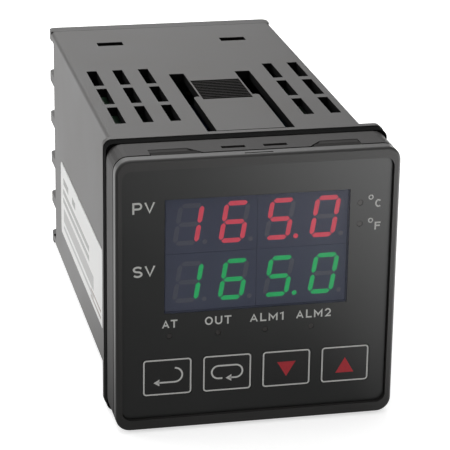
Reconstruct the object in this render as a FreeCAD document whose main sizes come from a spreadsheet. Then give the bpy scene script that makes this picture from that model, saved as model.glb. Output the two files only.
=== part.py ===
# Panel temperature controller, 1/16 DIN, FreeCAD 1.1 macro, millimetres.
# X runs to the right seen from the front, Y runs back into the panel, Z is up.
# The origin is the middle of the panel seat, the rear face of the case flange.
import FreeCAD, Part
import math
import os
import re
import Sketcher

doc = FreeCAD.newDocument("temperature_controller")

# ---------------------------------------------------------------------------
# Driving dimensions
# ---------------------------------------------------------------------------
SIZES = [
    # front of the panel, from the seat towards the user
    ("flange_depth", 1.3, "case flange that bears on the panel"),
    ("flange_over", 0.2, "flange outside the bezel, every side"),
    ("flange_corner", 1.5, "corner radius of the flange"),
    ("gasket_depth", 3.0, "sealing frame between sleeve and flange"),
    ("gasket_over", 0.1, "sealing frame outside the bezel, every side"),
    ("gasket_corner", 2.0, "corner radius of the sealing frame"),
    ("bezel_side", 48.0, "front bezel, square"),
    ("bezel_corner", 2.5, "corner radius of the bezel"),
    ("bezel_edge", 0.5, "rounding of the front edge"),
    ("sleeve_depth", 6.0, "side of the bezel sleeve"),
    ("sleeve_wall", 1.6, "wall of the bezel sleeve"),
    ("sleeve_web", 1.2, "rear web of the bezel sleeve"),
    ("seam_gap", 0.2, "shadow gap between sleeve and front frame"),
    ("lip_depth", 2.1, "side of the front frame"),
    ("spigot_length", 4.0, "spigot of the sleeve inside the case mouth"),
    ("spigot_wall", 1.2, "wall of the spigot"),
    # face
    ("rim_side", 1.1, "face rim left and right"),
    ("rim_top", 1.85, "face rim above and below"),
    ("rim_corner", 1.6, "inner corner radius of the rim"),
    ("panel_recess", 0.8, "depth of the face plate behind the rim"),
    ("panel_plate", 0.8, "thickness of the face plate"),
    ("panel_fit", 0.1, "clearance round the face plate"),
    ("ledge_side", 1.9, "ledge behind the face plate, left and right"),
    ("ledge_top", 1.9, "ledge behind the face plate, above and below"),
    ("skirt_fit", 0.15, "clearance of the frame skirt in the sleeve"),
    # window and digits
    ("window_side", 7.2, "window to the rim, left and right"),
    ("window_top", 5.45, "window to the rim above"),
    ("window_low", 18.75, "window to the rim below"),
    ("window_fit", 0.05, "clearance round the window"),
    ("window_gap", 0.2, "air between window and display modules"),
    ("display_shift", 0.12, "display modules off the middle of the window, right and up"),
    ("module_inset", 0.25, "module short of the window edge, left and right"),
    ("module_over", 0.1, "module past the window edge, above and below"),
    ("module_joint", 0.1, "gap between modules"),
    ("digit_room", 3.35, "space between the bars of neighbouring digits"),
    ("digit_margin", 1.4, "space above and below the bars of a digit"),
    ("digit_slant", 9.0, "slant of the digits, degrees"),
    ("bar_width", 0.8, "width of a light bar"),
    ("bar_gap", 0.12, "gap between light bars"),
    ("bar_depth", 0.3, "depth of a light bar in the module"),
    ("point_radius", 0.42, "decimal point"),
    ("point_out", 0.56, "decimal point beside its digit"),
    ("point_up", 0.45, "decimal point above the foot of its digit"),
    # indicator lamps
    ("lamp_radius", 0.45, "light pipe of an indicator"),
    ("lamp_fit", 0.05, "clearance of the light pipe in the face plate"),
    ("lamp_foot", 2.0, "square foot of an indicator"),
    ("lamp_foot_height", 0.8, "height of the foot"),
    ("lamp_drop", 4.0, "row of indicators below the window"),
    ("lamp_inset", 0.9, "self-tuning indicator from the left edge of the window"),
    ("lamp_step_1", 8.35, "self-tuning to output indicator"),
    ("lamp_step_2", 8.05, "output to first alarm indicator"),
    ("lamp_step_3", 8.0, "first to second alarm indicator"),
    ("unit_lamp_gap", 1.75, "unit indicators beside the window"),
    ("unit_lamp_drop", 2.45, "upper unit indicator below the top of the window"),
    ("unit_lamp_step", 3.75, "upper to lower unit indicator"),
    # keys
    ("key_left", 1.25, "key row from the left side of the frame mouth"),
    ("key_right", 0.61, "key row from the right side of the frame mouth"),
    ("key_low", 1.65, "key row from the bottom of the frame mouth"),
    ("key_space", 1.02, "between the flanges of neighbouring keys"),
    ("key_height", 6.5, "key cap"),
    ("key_corner", 0.5, "corner radius of a key cap"),
    ("key_fit", 0.12, "clearance round a key cap"),
    ("key_flange", 0.5, "retaining flange round the foot of a key"),
    ("key_flange_gap", 0.05, "play of the flange behind the face plate"),
    ("key_travel", 0.5, "travel of a key"),
    ("key_spare", 0.1, "gap left behind a pressed key"),
    ("switch_side", 6.0, "tact switch, square"),
    ("switch_height", 2.6, "tact switch above its board"),
    ("plunger_radius", 1.6, "plunger of a tact switch"),
    ("plunger_fit", 0.1, "clearance of the plunger in its bore"),
    ("plunger_engage", 0.6, "plunger inside the switch at rest"),
    # boards
    ("board_thick", 1.6, "every circuit board"),
    ("board_fit", 0.6, "display board to sleeve wall"),
    ("side_board_gap", 0.85, "side board to the spigot"),
    ("side_board_room", 0.57, "side board edge to the spigot"),
    ("rear_board_room", 1.15, "rear board edge to the case wall"),
    ("socket_width", 4.0, "board connectors, across"),
    ("socket_depth", 5.0, "board connectors, along the side board"),
    ("front_socket_height", 20.0, "front board connectors"),
    ("rear_socket_height", 26.0, "rear board connectors"),
    # case
    ("case_step_x", 1.75, "housing wall inside the bezel, left and right"),
    ("case_step_z", 1.63, "housing wall inside the bezel, top and bottom"),
    ("case_corner", 0.8, "long edges of the housing"),
    ("case_wall", 1.6, "wall of the housing"),
    ("roof_over", 3.2, "top and bottom walls past the side walls"),
    ("side_depth", 71.5, "side walls behind the seat"),
    ("case_fit", 0.1, "clearance of the terminal block in the case"),
    ("spigot_fit", 0.2, "clearance of the spigot in the case"),
    ("vent_width", 1.9, "vent slot"),
    ("vent_length", 9.65, "vent slot"),
    ("vent_pitch_x", 4.85, "step between vent columns"),
    ("vent_pitch_y", 11.6, "step between vent rows"),
    ("vent_first_y", 12.6, "front end of the first vent row"),
    ("vent_left", 3.47, "outer vent column from the left edge"),
    ("vent_right", 2.67, "outer vent column from the right edge"),
    ("clip_x", 2.73, "middle of the bracket tongue"),
    ("rail_front", 0.2, "front end of the rail slots behind the flange"),
    ("rail_span", 15.35, "over the outer edges of the two rail slots"),
    ("plate_span", 12.05, "wide plate of the tongue"),
    ("tongue_span", 9.7, "neck of the tongue"),
    ("plate_front", 5.9, "free front end of the tongue"),
    ("plate_slit", 0.35, "slit in front of the tongue"),
    ("plate_rear", 26.2, "rear end of the wide plate"),
    ("plate_corner", 0.8, "rounded rear corners of the wide plate"),
    ("rail_rear", 41.2, "rear end of the rail slots"),
    ("tooth_span", 9.1, "length of a ratchet tooth"),
    ("tooth_first_y", 24.9, "groove of the first tooth"),
    ("tooth_pitch", 1.0, "step from tooth to tooth"),
    ("tooth_count", 12, "grooves on a tongue"),
    ("tooth_lift", 0.04, "groove profile above the surface, leaves a blunt crest"),
    ("snap_width", 5.0, "rear snap windows"),
    ("snap_length", 2.4, "rear snap windows"),
    ("snap_setback", 0.6, "rear snap windows behind the front of the block"),
    ("snap_edge", 10.05, "rear snap windows from the case side"),
    ("snap_fit", 0.15, "clearance round a hook in its window"),
    ("guide_length", 13.4, "board guides in front of the rear board"),
    ("guide_wall", 1.0, "rib of a board guide"),
    ("guide_grip", 0.8, "depth of board held by a guide"),
    ("guide_fit", 0.15, "clearance of a board in its guide"),
    # front hooks and scoops on the sleeve
    ("hook_width", 4.0, "hook windows of the sleeve"),
    ("hook_length", 1.1, "hook windows of the sleeve"),
    ("hook_x", 3.55, "hook windows either side of the middle"),
    ("hook_setback", 1.7, "hook window behind the front of the sleeve"),
    ("hook_fit", 0.1, "clearance round a hook in its window"),
    ("hook_sink", 0.8, "hook below the outer surface"),
    ("scoop_outer", 17.8, "outer end of a scoop"),
    ("scoop_front", 9.0, "inner end of a scoop at the seam"),
    ("scoop_rear", 11.3, "inner end of a scoop at its back"),
    ("scoop_length", 2.9, "scoop behind the front of the sleeve"),
    ("scoop_depth", 0.7, "depth of a scoop"),
    ("tab_length", 1.4, "tab of the front frame in a scoop"),
    ("tab_fit", 0.1, "clearance round a tab"),
    ("notch_width", 4.8, "pry notch in the front frame"),
    ("notch_length", 0.4, "pry notch in the front frame"),
    ("notch_setback", 0.8, "pry notch behind the face"),
    ("notch_depth", 0.8, "pry notch in the front frame"),
    # terminal block
    ("barrier_over", 3.1, "barrier ribs past the top and bottom walls"),
    ("barrier_rib", 1.9, "thickness of a barrier rib"),
    ("barrier_corner", 1.2, "rear corners of the block"),
    ("block_inside", 9.5, "base of the block inside the side walls"),
    ("column_wall", 1.4, "walls between the terminal columns"),
    ("column_offset", 5.4, "outer face of a column wall from the outer screws"),
    ("block_gap", 0.1, "gap between the case wall and the rear of the block"),
    ("roof_web", 0.6, "web of the block under the case wall"),
    ("roof_inset", 1.6, "web short of the case side"),
    ("roof_lap", 0.5, "web let into the rear of the block"),
    ("outer_terminals", 5, "terminals in each outer column"),
    ("middle_terminals", 4, "terminals in the middle column"),
    ("terminal_share", 0.3011236, "screws of the outer columns, share of the case width"),
    ("contact_width", 7.0, "contact plate"),
    ("contact_room", 0.534, "contact plate to the barrier rib"),
    ("contact_thick", 0.8, "contact plate"),
    ("pin_side", 0.8, "contact pin, square"),
    ("pin_fit", 0.1, "clearance round a contact pin"),
    ("pin_offset", 2.6, "contact pin from its screw"),
    ("pin_reach", 0.8, "contact pin through the rear board"),
    ("wire_gap", 0.3, "gap for the wire under the clamp plate"),
    ("clamp_thick", 0.8, "clamp plate"),
    ("clamp_width", 5.6, "clamp plate"),
    ("screw_radius", 1.5, "screw shank"),
    ("screw_fit", 0.1, "clearance round the shank"),
    ("screw_grip", 4.0, "screw shank inside the block"),
    ("screw_spare", 0.5, "depth of the bore past the screw"),
    ("head_inset", 0.05, "screw head inside the edge of its contact plate"),
    ("head_height", 2.0, "screw head"),
    ("head_slot", 0.8, "slot of a screw head"),
    ("head_slot_depth", 1.0, "slot of a screw head"),
    # parts on the side boards
    ("core_share", 0.2797203, "transformer core, share of the depth"),
    ("core_height", 16.0, "transformer core"),
    ("core_thick", 10.0, "transformer core"),
    ("core_leg", 2.5, "outer legs of the core"),
    ("core_centre_leg", 5.0, "centre leg of the core"),
    ("core_gap", 0.7, "core in front of the relays"),
    ("coil_wrap", 2.0, "winding round the centre leg"),
    ("coil_fit", 0.1, "clearance of the winding"),
    ("bobbin_foot", 1.0, "foot of the bobbin"),
    ("bobbin_length", 12.0, "foot of the bobbin"),
    ("bobbin_height", 8.0, "foot of the bobbin"),
    ("relay_share", 0.2517483, "relay, share of the depth"),
    ("relay_height", 15.3, "relay above its board"),
    ("relay_width", 10.0, "relay"),
    ("relay_socket_gap", 0.5, "relays in front of the rear connector"),
    ("relay_gap", 2.0, "relays either side of the middle"),
    ("capacitor_gap", 1.2, "capacitors in front of the core"),
    ("capacitor_main_radius", 5.0, "reservoir capacitor"),
    ("capacitor_main_height", 16.0, "reservoir capacitor"),
    ("capacitor_main_edge", 8.8, "reservoir capacitor above the lower edge of its board"),
    ("capacitor_low_radius", 4.0, "output capacitor"),
    ("capacitor_low_height", 12.0, "output capacitor"),
    ("capacitor_low_edge", 9.8, "output capacitor below the upper edge of its board"),
    ("processor_side", 10.0, "processor"),
    ("processor_thick", 1.4, "processor"),
    ("processor_y", 15.0, "front of the processor"),
    ("memory_length", 5.0, "memory"),
    ("memory_width", 4.0, "memory"),
    ("memory_thick", 1.5, "memory"),
    ("memory_y", 30.0, "front of the memory"),
    ("opto_length", 6.5, "optocoupler"),
    ("opto_thick", 3.5, "optocoupler"),
    ("opto_setback", 20.4, "optocoupler in front of the rear board"),
    ("opto_width", 4.6, "optocoupler"),
    ("opto_z", -9.0, "lower edge of the optocoupler"),
    # label
    ("label_front", 5.4, "front end of the label"),
    ("label_rear", 9.1, "label to the rear edge of the side wall"),
    ("label_height", 14.7, "label"),
    ("label_low", 7.17, "label above the bottom of the case"),
    ("label_thick", 0.12, "label"),
    ("label_corner", 1.0, "corners of the label"),
]

# Sizes that follow from the driving ones, so the neighbours of a piece move with it
FOLLOWING = {
    "flange_side": "bezel_side + 2 * flange_over",
    "gasket_side": "bezel_side + 2 * gasket_over",
    "case_width": "bezel_side - 2 * case_step_x",
    "case_height": "bezel_side - 2 * case_step_z",
    "case_depth": "side_depth + roof_over",
    "window_width": "bezel_side - 2 * rim_side - 2 * window_side",
    "window_height": "bezel_side - 2 * rim_top - window_top - window_low",
    "window_z": "(window_low - window_top) / 2",
    "display_z": "window_z + display_shift",
    "module_width": "(window_width - module_joint) / 2 - module_inset",
    "module_height": "(window_height - module_joint) / 2 + module_over",
    "digit_pitch": "(module_width + module_joint) / 2",
    "digit_width": "digit_pitch - digit_room",
    "digit_height": "module_height - 2 * digit_margin",
    "point_x": "digit_width / 2 + point_out",
    "point_z": "digit_height / 2 - point_up",
    "lamp_row_z": "window_z - window_height / 2 - lamp_drop",
    "tuning_x": "lamp_inset - window_width / 2",
    "output_x": "tuning_x + lamp_step_1",
    "alarm_first_x": "output_x + lamp_step_2",
    "alarm_second_x": "alarm_first_x + lamp_step_3",
    "unit_lamp_x": "window_width / 2 + unit_lamp_gap",
    "celsius_z": "window_z + window_height / 2 - unit_lamp_drop",
    "fahrenheit_z": "celsius_z - unit_lamp_step",
    "mouth_x": "bezel_side / 2 - rim_side - ledge_side",
    "mouth_z": "bezel_side / 2 - rim_top - ledge_top",
    "key_width": "(2 * mouth_x - key_left - key_right - 3 * key_space) / 4 - 2 * key_flange",
    "key_pitch": "key_width + 2 * key_flange + key_space",
    "key_row_x": "(key_left - key_right) / 2",
    "key_row_z": "key_low + key_flange + key_height / 2 - mouth_z",
    "cavity_x": "case_width / 2 - case_wall",
    "cavity_z": "case_height / 2 - case_wall",
    "spigot_bore_x": "cavity_x - spigot_fit - spigot_wall",
    "spigot_bore_z": "cavity_z - spigot_fit - spigot_wall",
    "side_board_x": "spigot_bore_x - side_board_gap - board_thick / 2",
    "side_board_height": "2 * (spigot_bore_z - side_board_room)",
    "rear_board_side": "2 * (cavity_x - rear_board_room)",
    "block_front": "side_depth - block_inside",
    "rear_board_front": "block_front - board_thick",
    "barrier_end": "case_depth + barrier_over",
    "vent_left_x": "vent_left - case_width / 2",
    "vent_right_x": "case_width / 2 - vent_right",
    "snap_x": "case_width / 2 - snap_edge",
    "snap_y": "block_front + snap_setback",
    "guide_front": "rear_board_front - guide_length",
    "terminal_x": "case_width * terminal_share",
    "column_half": "terminal_x - column_offset",
    "outer_pitch": "(case_height - barrier_rib) / outer_terminals",
    "contact_height": "outer_pitch - barrier_rib - 2 * contact_room",
    "head_radius": "contact_height / 2 - head_inset",
    "core_length": "side_depth * core_share",
    "relay_length": "side_depth * relay_share",
    "relay_y": "rear_board_front - socket_depth - relay_socket_gap - relay_length",
    "core_y": "relay_y - core_gap - core_length",
    "capacitor_y": "core_y - capacitor_gap - capacitor_main_radius",
    "capacitor_main_z": "capacitor_main_edge - side_board_height / 2",
    "capacitor_low_z": "side_board_height / 2 - capacitor_low_edge",
    "opto_y": "rear_board_front - opto_setback",
    "label_length": "side_depth - label_front - label_rear",
    "label_z": "label_low - case_height / 2",
}

sheet = doc.addObject("Spreadsheet::Sheet", "sizes")
for row, (alias, value, meaning) in enumerate(SIZES, start=1):
    sheet.set(f"A{row}", meaning)
    sheet.set(f"B{row}", str(value))
    sheet.setAlias(f"B{row}", alias)
doc.recompute()

ALIASES = {alias for alias, value, meaning in SIZES}
PROPERTY = {"x": "Placement.Base.x", "y": "Placement.Base.y", "z": "Placement.Base.z"}


# ---------------------------------------------------------------------------
# Helpers
# ---------------------------------------------------------------------------
def formula(text):
    """Point each size name in a formula at its cell, and write out the sizes that follow."""
    def reference(match):
        word = match[0]
        if word in FOLLOWING:
            return f"({formula(FOLLOWING[word])})"
        return f"sizes.{word}" if word in ALIASES else word
    return re.sub(r"[a-z_]+[a-z_0-9]*", reference, text)


gauge = doc.addObject("App::FeaturePython", "gauge")
gauge.addProperty("App::PropertyFloat", "Reading")


def size(text):
    """The number that a formula of the sizes gives now."""
    gauge.setExpression("Reading", formula(text))
    gauge.recompute()
    return gauge.Reading


def bind(item, **formulas):
    """Bind properties of an object to formulas of the sizes."""
    for name, text in formulas.items():
        item.setExpression(PROPERTY.get(name, name), formula(text))
    return item


def box(name, x, y, z):
    """A box between low and high formulas on each axis."""
    item = doc.addObject("Part::Box", name)
    return bind(
        item,
        x=x[0], y=y[0], z=z[0],
        Length=f"({x[1]}) - ({x[0]})",
        Width=f"({y[1]}) - ({y[0]})",
        Height=f"({z[1]}) - ({z[0]})",
    )


TURN = {
    "x": FreeCAD.Rotation(FreeCAD.Vector(0, 1, 0), 90),
    "y": FreeCAD.Rotation(FreeCAD.Vector(1, 0, 0), -90),
}


def rod(name, along, x, y, z, radius, length):
    """A cylinder whose start is at x, y, z and which runs along +X or +Y."""
    item = doc.addObject("Part::Cylinder", name)
    item.Placement.Rotation = TURN[along]
    return bind(item, x=x, y=y, z=z, Radius=radius, Height=length)


def join(name, pieces):
    """One solid made of several."""
    item = doc.addObject("Part::MultiFuse", name)
    item.Shapes = pieces
    item.Refine = True
    return item


def cut(name, base, tools):
    """A solid less one or more tools."""
    tool = tools[0]
    if len(tools) > 1:
        tool = doc.addObject("Part::Compound", name + "_tools")
        tool.Links = tools
    item = doc.addObject("Part::Cut", name)
    item.Base = base
    item.Tool = tool
    item.Refine = True
    return item


def group(name, pieces):
    """Separate solids of one kind."""
    item = doc.addObject("Part::Compound", name)
    item.Links = pieces
    return item


def origin_plane(body, role):
    """An origin plane of a body."""
    return next(item for item in body.Origin.OriginFeatures if item.Role == role)


def rectangle(sketch, width, height):
    """A rectangle with its lower left corner on the sketch origin, its sizes bound."""
    corners = [FreeCAD.Vector(0, 0), FreeCAD.Vector(10, 0), FreeCAD.Vector(10, 10), FreeCAD.Vector(0, 10)]
    for index in range(4):
        sketch.addGeometry(Part.LineSegment(corners[index], corners[(index + 1) % 4]), False)
    for index in range(4):
        sketch.addConstraint(Sketcher.Constraint("Coincident", index, 2, (index + 1) % 4, 1))
    for index, kind in enumerate(("Horizontal", "Vertical", "Horizontal", "Vertical")):
        sketch.addConstraint(Sketcher.Constraint(kind, index))
    sketch.addConstraint(Sketcher.Constraint("Coincident", 0, 1, -1, 1))
    for name, line, text in (("wide", 0, width), ("high", 1, height)):
        place = sketch.addConstraint(Sketcher.Constraint("Distance", line, 10.0))
        sketch.renameConstraint(place, name)
        sketch.setExpression(f"Constraints.{name}", formula(text))


AXIS = {"x": FreeCAD.Vector(1, 0, 0), "y": FreeCAD.Vector(0, 1, 0), "z": FreeCAD.Vector(0, 0, 1)}


def edges_along(shape, axis, keep=None):
    """Names of the straight edges that run along an axis, or only those that keep() accepts."""
    names = []
    for number, edge in enumerate(shape.Edges, start=1):
        ends = [vertex.Point for vertex in edge.Vertexes]
        if len(ends) == 2 and (ends[1] - ends[0]).cross(AXIS[axis]).Length < 1e-6:
            if keep is None or keep(edge.CenterOfMass):
                names.append(f"Edge{number}")
    return names


def slab(name, x, y, z, corner, along="y", keep=None, front_edge=None):
    """A padded rectangle with rounded corners: edges along one axis, and the front edge if asked."""
    body = doc.addObject("PartDesign::Body", name)
    bind(body, x=x[0], y=y[0], z=z[0])
    sketch = body.newObject("Sketcher::SketchObject", name + "_outline")
    sketch.AttachmentSupport = (origin_plane(body, "XZ_Plane"), [""])
    sketch.MapMode = "FlatFace"
    rectangle(sketch, f"({x[1]}) - ({x[0]})", f"({z[1]}) - ({z[0]})")
    pad = body.newObject("PartDesign::Pad", name + "_pad")
    pad.Profile = sketch
    pad.Reversed = True
    bind(pad, Length=f"({y[1]}) - ({y[0]})")
    doc.recompute()
    rounded = body.newObject("PartDesign::Fillet", name + "_corners")
    rounded.Base = (pad, edges_along(pad.Shape, along, keep))
    bind(rounded, Radius=corner)
    if front_edge:
        doc.recompute()
        faces = rounded.Shape.Faces
        front = next(i for i, f in enumerate(faces, start=1) if f.CenterOfMass.y < 1e-6)
        soft = body.newObject("PartDesign::Fillet", name + "_front_edge")
        soft.Base = (rounded, [f"Face{front}"])
        bind(soft, Radius=front_edge)
    return body


def middle(half, offset="0"):
    """Low and high formulas either side of an offset."""
    return (f"({offset}) - ({half})", f"({offset}) + ({half})")


# ---------------------------------------------------------------------------
# Levels along Y, worked out from the panel seat
# ---------------------------------------------------------------------------
FLANGE_FRONT = "(-flange_depth)"
SLEEVE_REAR = "(-flange_depth - gasket_depth)"
SLEEVE_FRONT = f"({SLEEVE_REAR} - sleeve_depth)"
FRAME_REAR = f"({SLEEVE_FRONT} - seam_gap)"
FACE = f"({FRAME_REAR} - lip_depth)"
PANEL_FACE = f"({FACE} + panel_recess)"
PANEL_BACK = f"({PANEL_FACE} + panel_plate)"
WEB_FRONT = f"({SLEEVE_REAR} - sleeve_web)"
BOARD_FRONT = f"({WEB_FRONT} - board_thick)"
MODULE_FACE = f"({PANEL_BACK} + window_gap)"
REAR_BOARD_FRONT = "(block_front - board_thick)"
CLAMP_FRONT = "(side_depth + contact_thick + wire_gap)"
HEAD_SEAT = f"({CLAMP_FRONT} + clamp_thick)"
BEYOND = "1"
CAVITY_X = "(case_width / 2 - case_wall)"
CAVITY_Z = "(case_height / 2 - case_wall)"
SLEEVE_INNER = "(bezel_side / 2 - sleeve_wall)"

nodes = []


def keep_node(item, name):
    """Name a finished sub-part and put it on the list to be written."""
    item.Label = name
    nodes.append((name, item))
    return item


# ---------------------------------------------------------------------------
# Rear case: housing tube with flange, vents, rails, teeth, snap windows and board guides
# ---------------------------------------------------------------------------
def case_slots():
    """Every opening of the roof; the same tools cut the floor, so they run right through."""
    through = middle(f"case_height / 2 + {BEYOND}")
    tools = []
    columns = [f"vent_left_x + {k} * vent_pitch_x" for k in range(3)]
    columns += [f"vent_right_x - {k} * vent_pitch_x" for k in range(2)]
    for column, centre in enumerate(columns):
        for line in range(3):
            start = f"vent_first_y + {line} * vent_pitch_y"
            tools.append(box(f"vent_{column}_{line}", middle("vent_width / 2", centre),
                             (start, f"{start} + vent_length"), through))
    for side, sign in (("left", "-1"), ("right", "1")):
        tools.append(box(f"snap_{side}", middle("snap_width / 2", f"{sign} * snap_x"),
                         ("snap_y", "snap_y + snap_length"), through))
    return tools


def rail_tools():
    """The two rail slots and the slit that free the tongue, with its rounded plate corners."""
    through = middle(f"case_height / 2 + {BEYOND}")
    slots = [
        box("rail_left", ("clip_x - rail_span / 2", "clip_x - plate_span / 2"),
            ("rail_front", "rail_rear"), through),
        box("rail_right", ("clip_x + plate_span / 2", "clip_x + rail_span / 2"),
            ("rail_front", "rail_rear"), through),
        box("neck_left", ("clip_x - rail_span / 2", "clip_x - tongue_span / 2"),
            ("plate_rear", "rail_rear"), through),
        box("neck_right", ("clip_x + tongue_span / 2", "clip_x + rail_span / 2"),
            ("plate_rear", "rail_rear"), through),
        box("slit", middle("rail_span / 2", "clip_x"), ("plate_front - plate_slit", "plate_front"), through),
    ]
    outline = join("tongue_outline", slots)
    doc.recompute()

    def plate_corner(point):
        sideways = abs(point.x - size("clip_x")) - size("plate_span") / 2
        return abs(sideways) < 1e-4 and abs(point.y - size("plate_rear")) < 1e-4

    rounded = doc.addObject("Part::Fillet", "tongue_corners")
    rounded.Base = outline
    radius = size("plate_corner")
    rounded.Edges = [(int(name[4:]), radius, radius) for name in edges_along(outline.Shape, "z", plate_corner)]
    return rounded


def tooth_grooves(side, sign):
    """A row of V grooves across the tongue: three-sided prisms, point inwards."""
    grooves = []
    for k in range(int(size("tooth_count"))):
        groove = doc.addObject("Part::Prism", f"tooth_{side}_{k}")
        groove.Polygon = 3
        groove.Placement.Rotation = FreeCAD.Rotation(FreeCAD.Vector(0, 1, 0), 90 * sign)
        bind(
            groove,
            x=f"clip_x - {sign} * tooth_span / 2",
            y=f"tooth_first_y + {k} * tooth_pitch",
            z=f"{sign} * (case_height / 2 - tooth_pitch / sqrt(3) / 2 + tooth_lift)",
            Circumradius="tooth_pitch / sqrt(3)",
            Height="tooth_span",
        )
        grooves.append(groove)
    return grooves


def board_guides():
    """Pairs of ribs on the roof and the floor that hold the rear of each side board."""
    ribs = []
    reach = "side_board_height / 2 - guide_grip"
    for side, sign in (("left", -1), ("right", 1)):
        for place, edge in (("in", -1), ("out", 1)):
            face = f"{sign} * (side_board_x + {edge} * (board_thick / 2 + guide_fit))"
            far = f"{face} + {sign * edge} * guide_wall"
            x = (face, far) if sign * edge > 0 else (far, face)
            y = ("guide_front", f"{REAR_BOARD_FRONT} - guide_fit")
            ribs.append(box(f"guide_{side}_{place}_top", x, y, (reach, f"{CAVITY_Z} + case_wall / 2")))
            ribs.append(box(f"guide_{side}_{place}_low", x, y, (f"-{CAVITY_Z} - case_wall / 2", f"-({reach})")))
    return ribs


def make_rear_case():
    housing = slab("housing", middle("case_width / 2"), ("0", "case_depth"), middle("case_height / 2"),
                   "case_corner")
    flange = slab("flange", middle("flange_side / 2"), (FLANGE_FRONT, "0"), middle("flange_side / 2"),
                  "flange_corner")
    tube = join("housing_with_flange", [housing, flange])
    cavity = box("cavity", middle(CAVITY_X), (f"{FLANGE_FRONT} - {BEYOND}", f"case_depth + {BEYOND}"),
                 middle(CAVITY_Z))
    side_cut = box("side_cut", middle(f"case_width / 2 + {BEYOND}"), ("side_depth", f"case_depth + {BEYOND}"),
                   middle(CAVITY_Z))
    tools = [cavity, side_cut, rail_tools()] + case_slots()
    tools += tooth_grooves("top", 1) + tooth_grooves("low", -1)
    shell = cut("housing_shell", tube, tools)
    return keep_node(join("rear_case_solid", [shell] + board_guides()), "rear_case")


make_rear_case()

# ---------------------------------------------------------------------------
# Gasket: soft frame squeezed between the sleeve and the case flange
# ---------------------------------------------------------------------------
gasket_outer = slab("gasket_outer", middle("gasket_side / 2"), (SLEEVE_REAR, FLANGE_FRONT),
                    middle("gasket_side / 2"), "gasket_corner")
gasket_hole = box("gasket_hole", middle(CAVITY_X), (f"{SLEEVE_REAR} - {BEYOND}", f"{FLANGE_FRONT} + {BEYOND}"),
                  middle(CAVITY_Z))
keep_node(cut("gasket_solid", gasket_outer, [gasket_hole]), "gasket")


# ---------------------------------------------------------------------------
# Bezel sleeve: ring with a web, a spigot for the case mouth, hook windows and scoops
# ---------------------------------------------------------------------------
def wedge(name, sign, y, z, inner_front, inner_rear, outer):
    """A block with one slanted end, on the left (-1) or the right (1) of the middle."""
    item = doc.addObject("Part::Wedge", name)
    ends = {"Xmin": inner_front, "X2min": inner_rear, "Xmax": outer, "X2max": outer}
    if sign < 0:
        ends = {"Xmin": f"-({outer})", "X2min": f"-({outer})", "Xmax": f"-({inner_front})",
                "X2max": f"-({inner_rear})"}
    bind(item, Ymin=y[0], Ymax=y[1], Zmin=z[0], Z2min=z[0], Zmax=z[1], Z2max=z[1], **ends)
    return item


def sleeve_scoops():
    tools = []
    for side, sign in (("left", -1), ("right", 1)):
        for place, z in (("top", ("bezel_side / 2 - scoop_depth", f"bezel_side / 2 + {BEYOND}")),
                         ("low", (f"-bezel_side / 2 - {BEYOND}", "-bezel_side / 2 + scoop_depth"))):
            tools.append(wedge(f"scoop_{side}_{place}", sign,
                               (SLEEVE_FRONT, f"{SLEEVE_FRONT} + scoop_length"), z,
                               "scoop_front", "scoop_rear", "scoop_outer"))
    return tools


def hook_windows():
    start = f"{SLEEVE_FRONT} + hook_setback"
    return [box(f"hook_window_{side}", middle("hook_width / 2", f"{sign} * hook_x"),
                (start, f"{start} + hook_length"), middle(f"bezel_side / 2 + {BEYOND}"))
            for side, sign in (("left", "-1"), ("right", "1"))]


def make_bezel_sleeve():
    ring = slab("sleeve_ring", middle("bezel_side / 2"), (SLEEVE_FRONT, SLEEVE_REAR), middle("bezel_side / 2"),
                "bezel_corner")
    spigot = box("sleeve_spigot", middle(f"{CAVITY_X} - spigot_fit"), (SLEEVE_REAR, "spigot_length"),
                 middle(f"{CAVITY_Z} - spigot_fit"))
    hollow = box("sleeve_hollow", middle(SLEEVE_INNER), (f"{SLEEVE_FRONT} - {BEYOND}", WEB_FRONT),
                 middle(SLEEVE_INNER))
    bore = box("sleeve_bore", middle(f"{CAVITY_X} - spigot_fit - spigot_wall"),
               (f"{SLEEVE_FRONT} - {BEYOND}", f"spigot_length + {BEYOND}"),
               middle(f"{CAVITY_Z} - spigot_fit - spigot_wall"))
    solid = join("sleeve_solid", [ring, spigot])
    return keep_node(cut("bezel_sleeve_solid", solid, [hollow, bore] + sleeve_scoops() + hook_windows()),
                     "bezel_sleeve")


make_bezel_sleeve()


# ---------------------------------------------------------------------------
# Front frame: rim, ledge for the face plate, skirt, hooks and tabs
# ---------------------------------------------------------------------------
def frame_tabs():
    """Tabs that close the front of the scoops, flush with the sleeve."""
    slope = "(scoop_rear - scoop_front) / scoop_length"
    tabs = []
    for side, sign in (("left", -1), ("right", 1)):
        for place, z in (("top", ("bezel_side / 2 - scoop_depth + tab_fit", "bezel_side / 2")),
                         ("low", ("-bezel_side / 2", "-bezel_side / 2 + scoop_depth - tab_fit"))):
            tabs.append(wedge(f"tab_{side}_{place}", sign,
                              (f"{FRAME_REAR} - seam_gap", f"{SLEEVE_FRONT} + tab_length"), z,
                              "scoop_front + tab_fit", f"scoop_front + tab_fit + tab_length * {slope}",
                              "scoop_outer - tab_fit"))
    return tabs


def frame_hooks():
    """Hooks on the skirt that snap into the sleeve windows."""
    start = f"{SLEEVE_FRONT} + hook_setback"
    skirt = f"({SLEEVE_INNER} - skirt_fit)"
    hooks = []
    for side, sign in (("left", "-1"), ("right", "1")):
        for place, z in (("top", (f"{skirt} - sleeve_wall / 2", "bezel_side / 2 - hook_sink")),
                         ("low", ("-(bezel_side / 2 - hook_sink)", f"-({skirt} - sleeve_wall / 2)"))):
            hooks.append(box(f"hook_{side}_{place}", middle("hook_width / 2 - hook_fit", f"{sign} * hook_x"),
                             (f"{start} + hook_fit", f"{start} + hook_length - hook_fit"), z))
    return hooks


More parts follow.
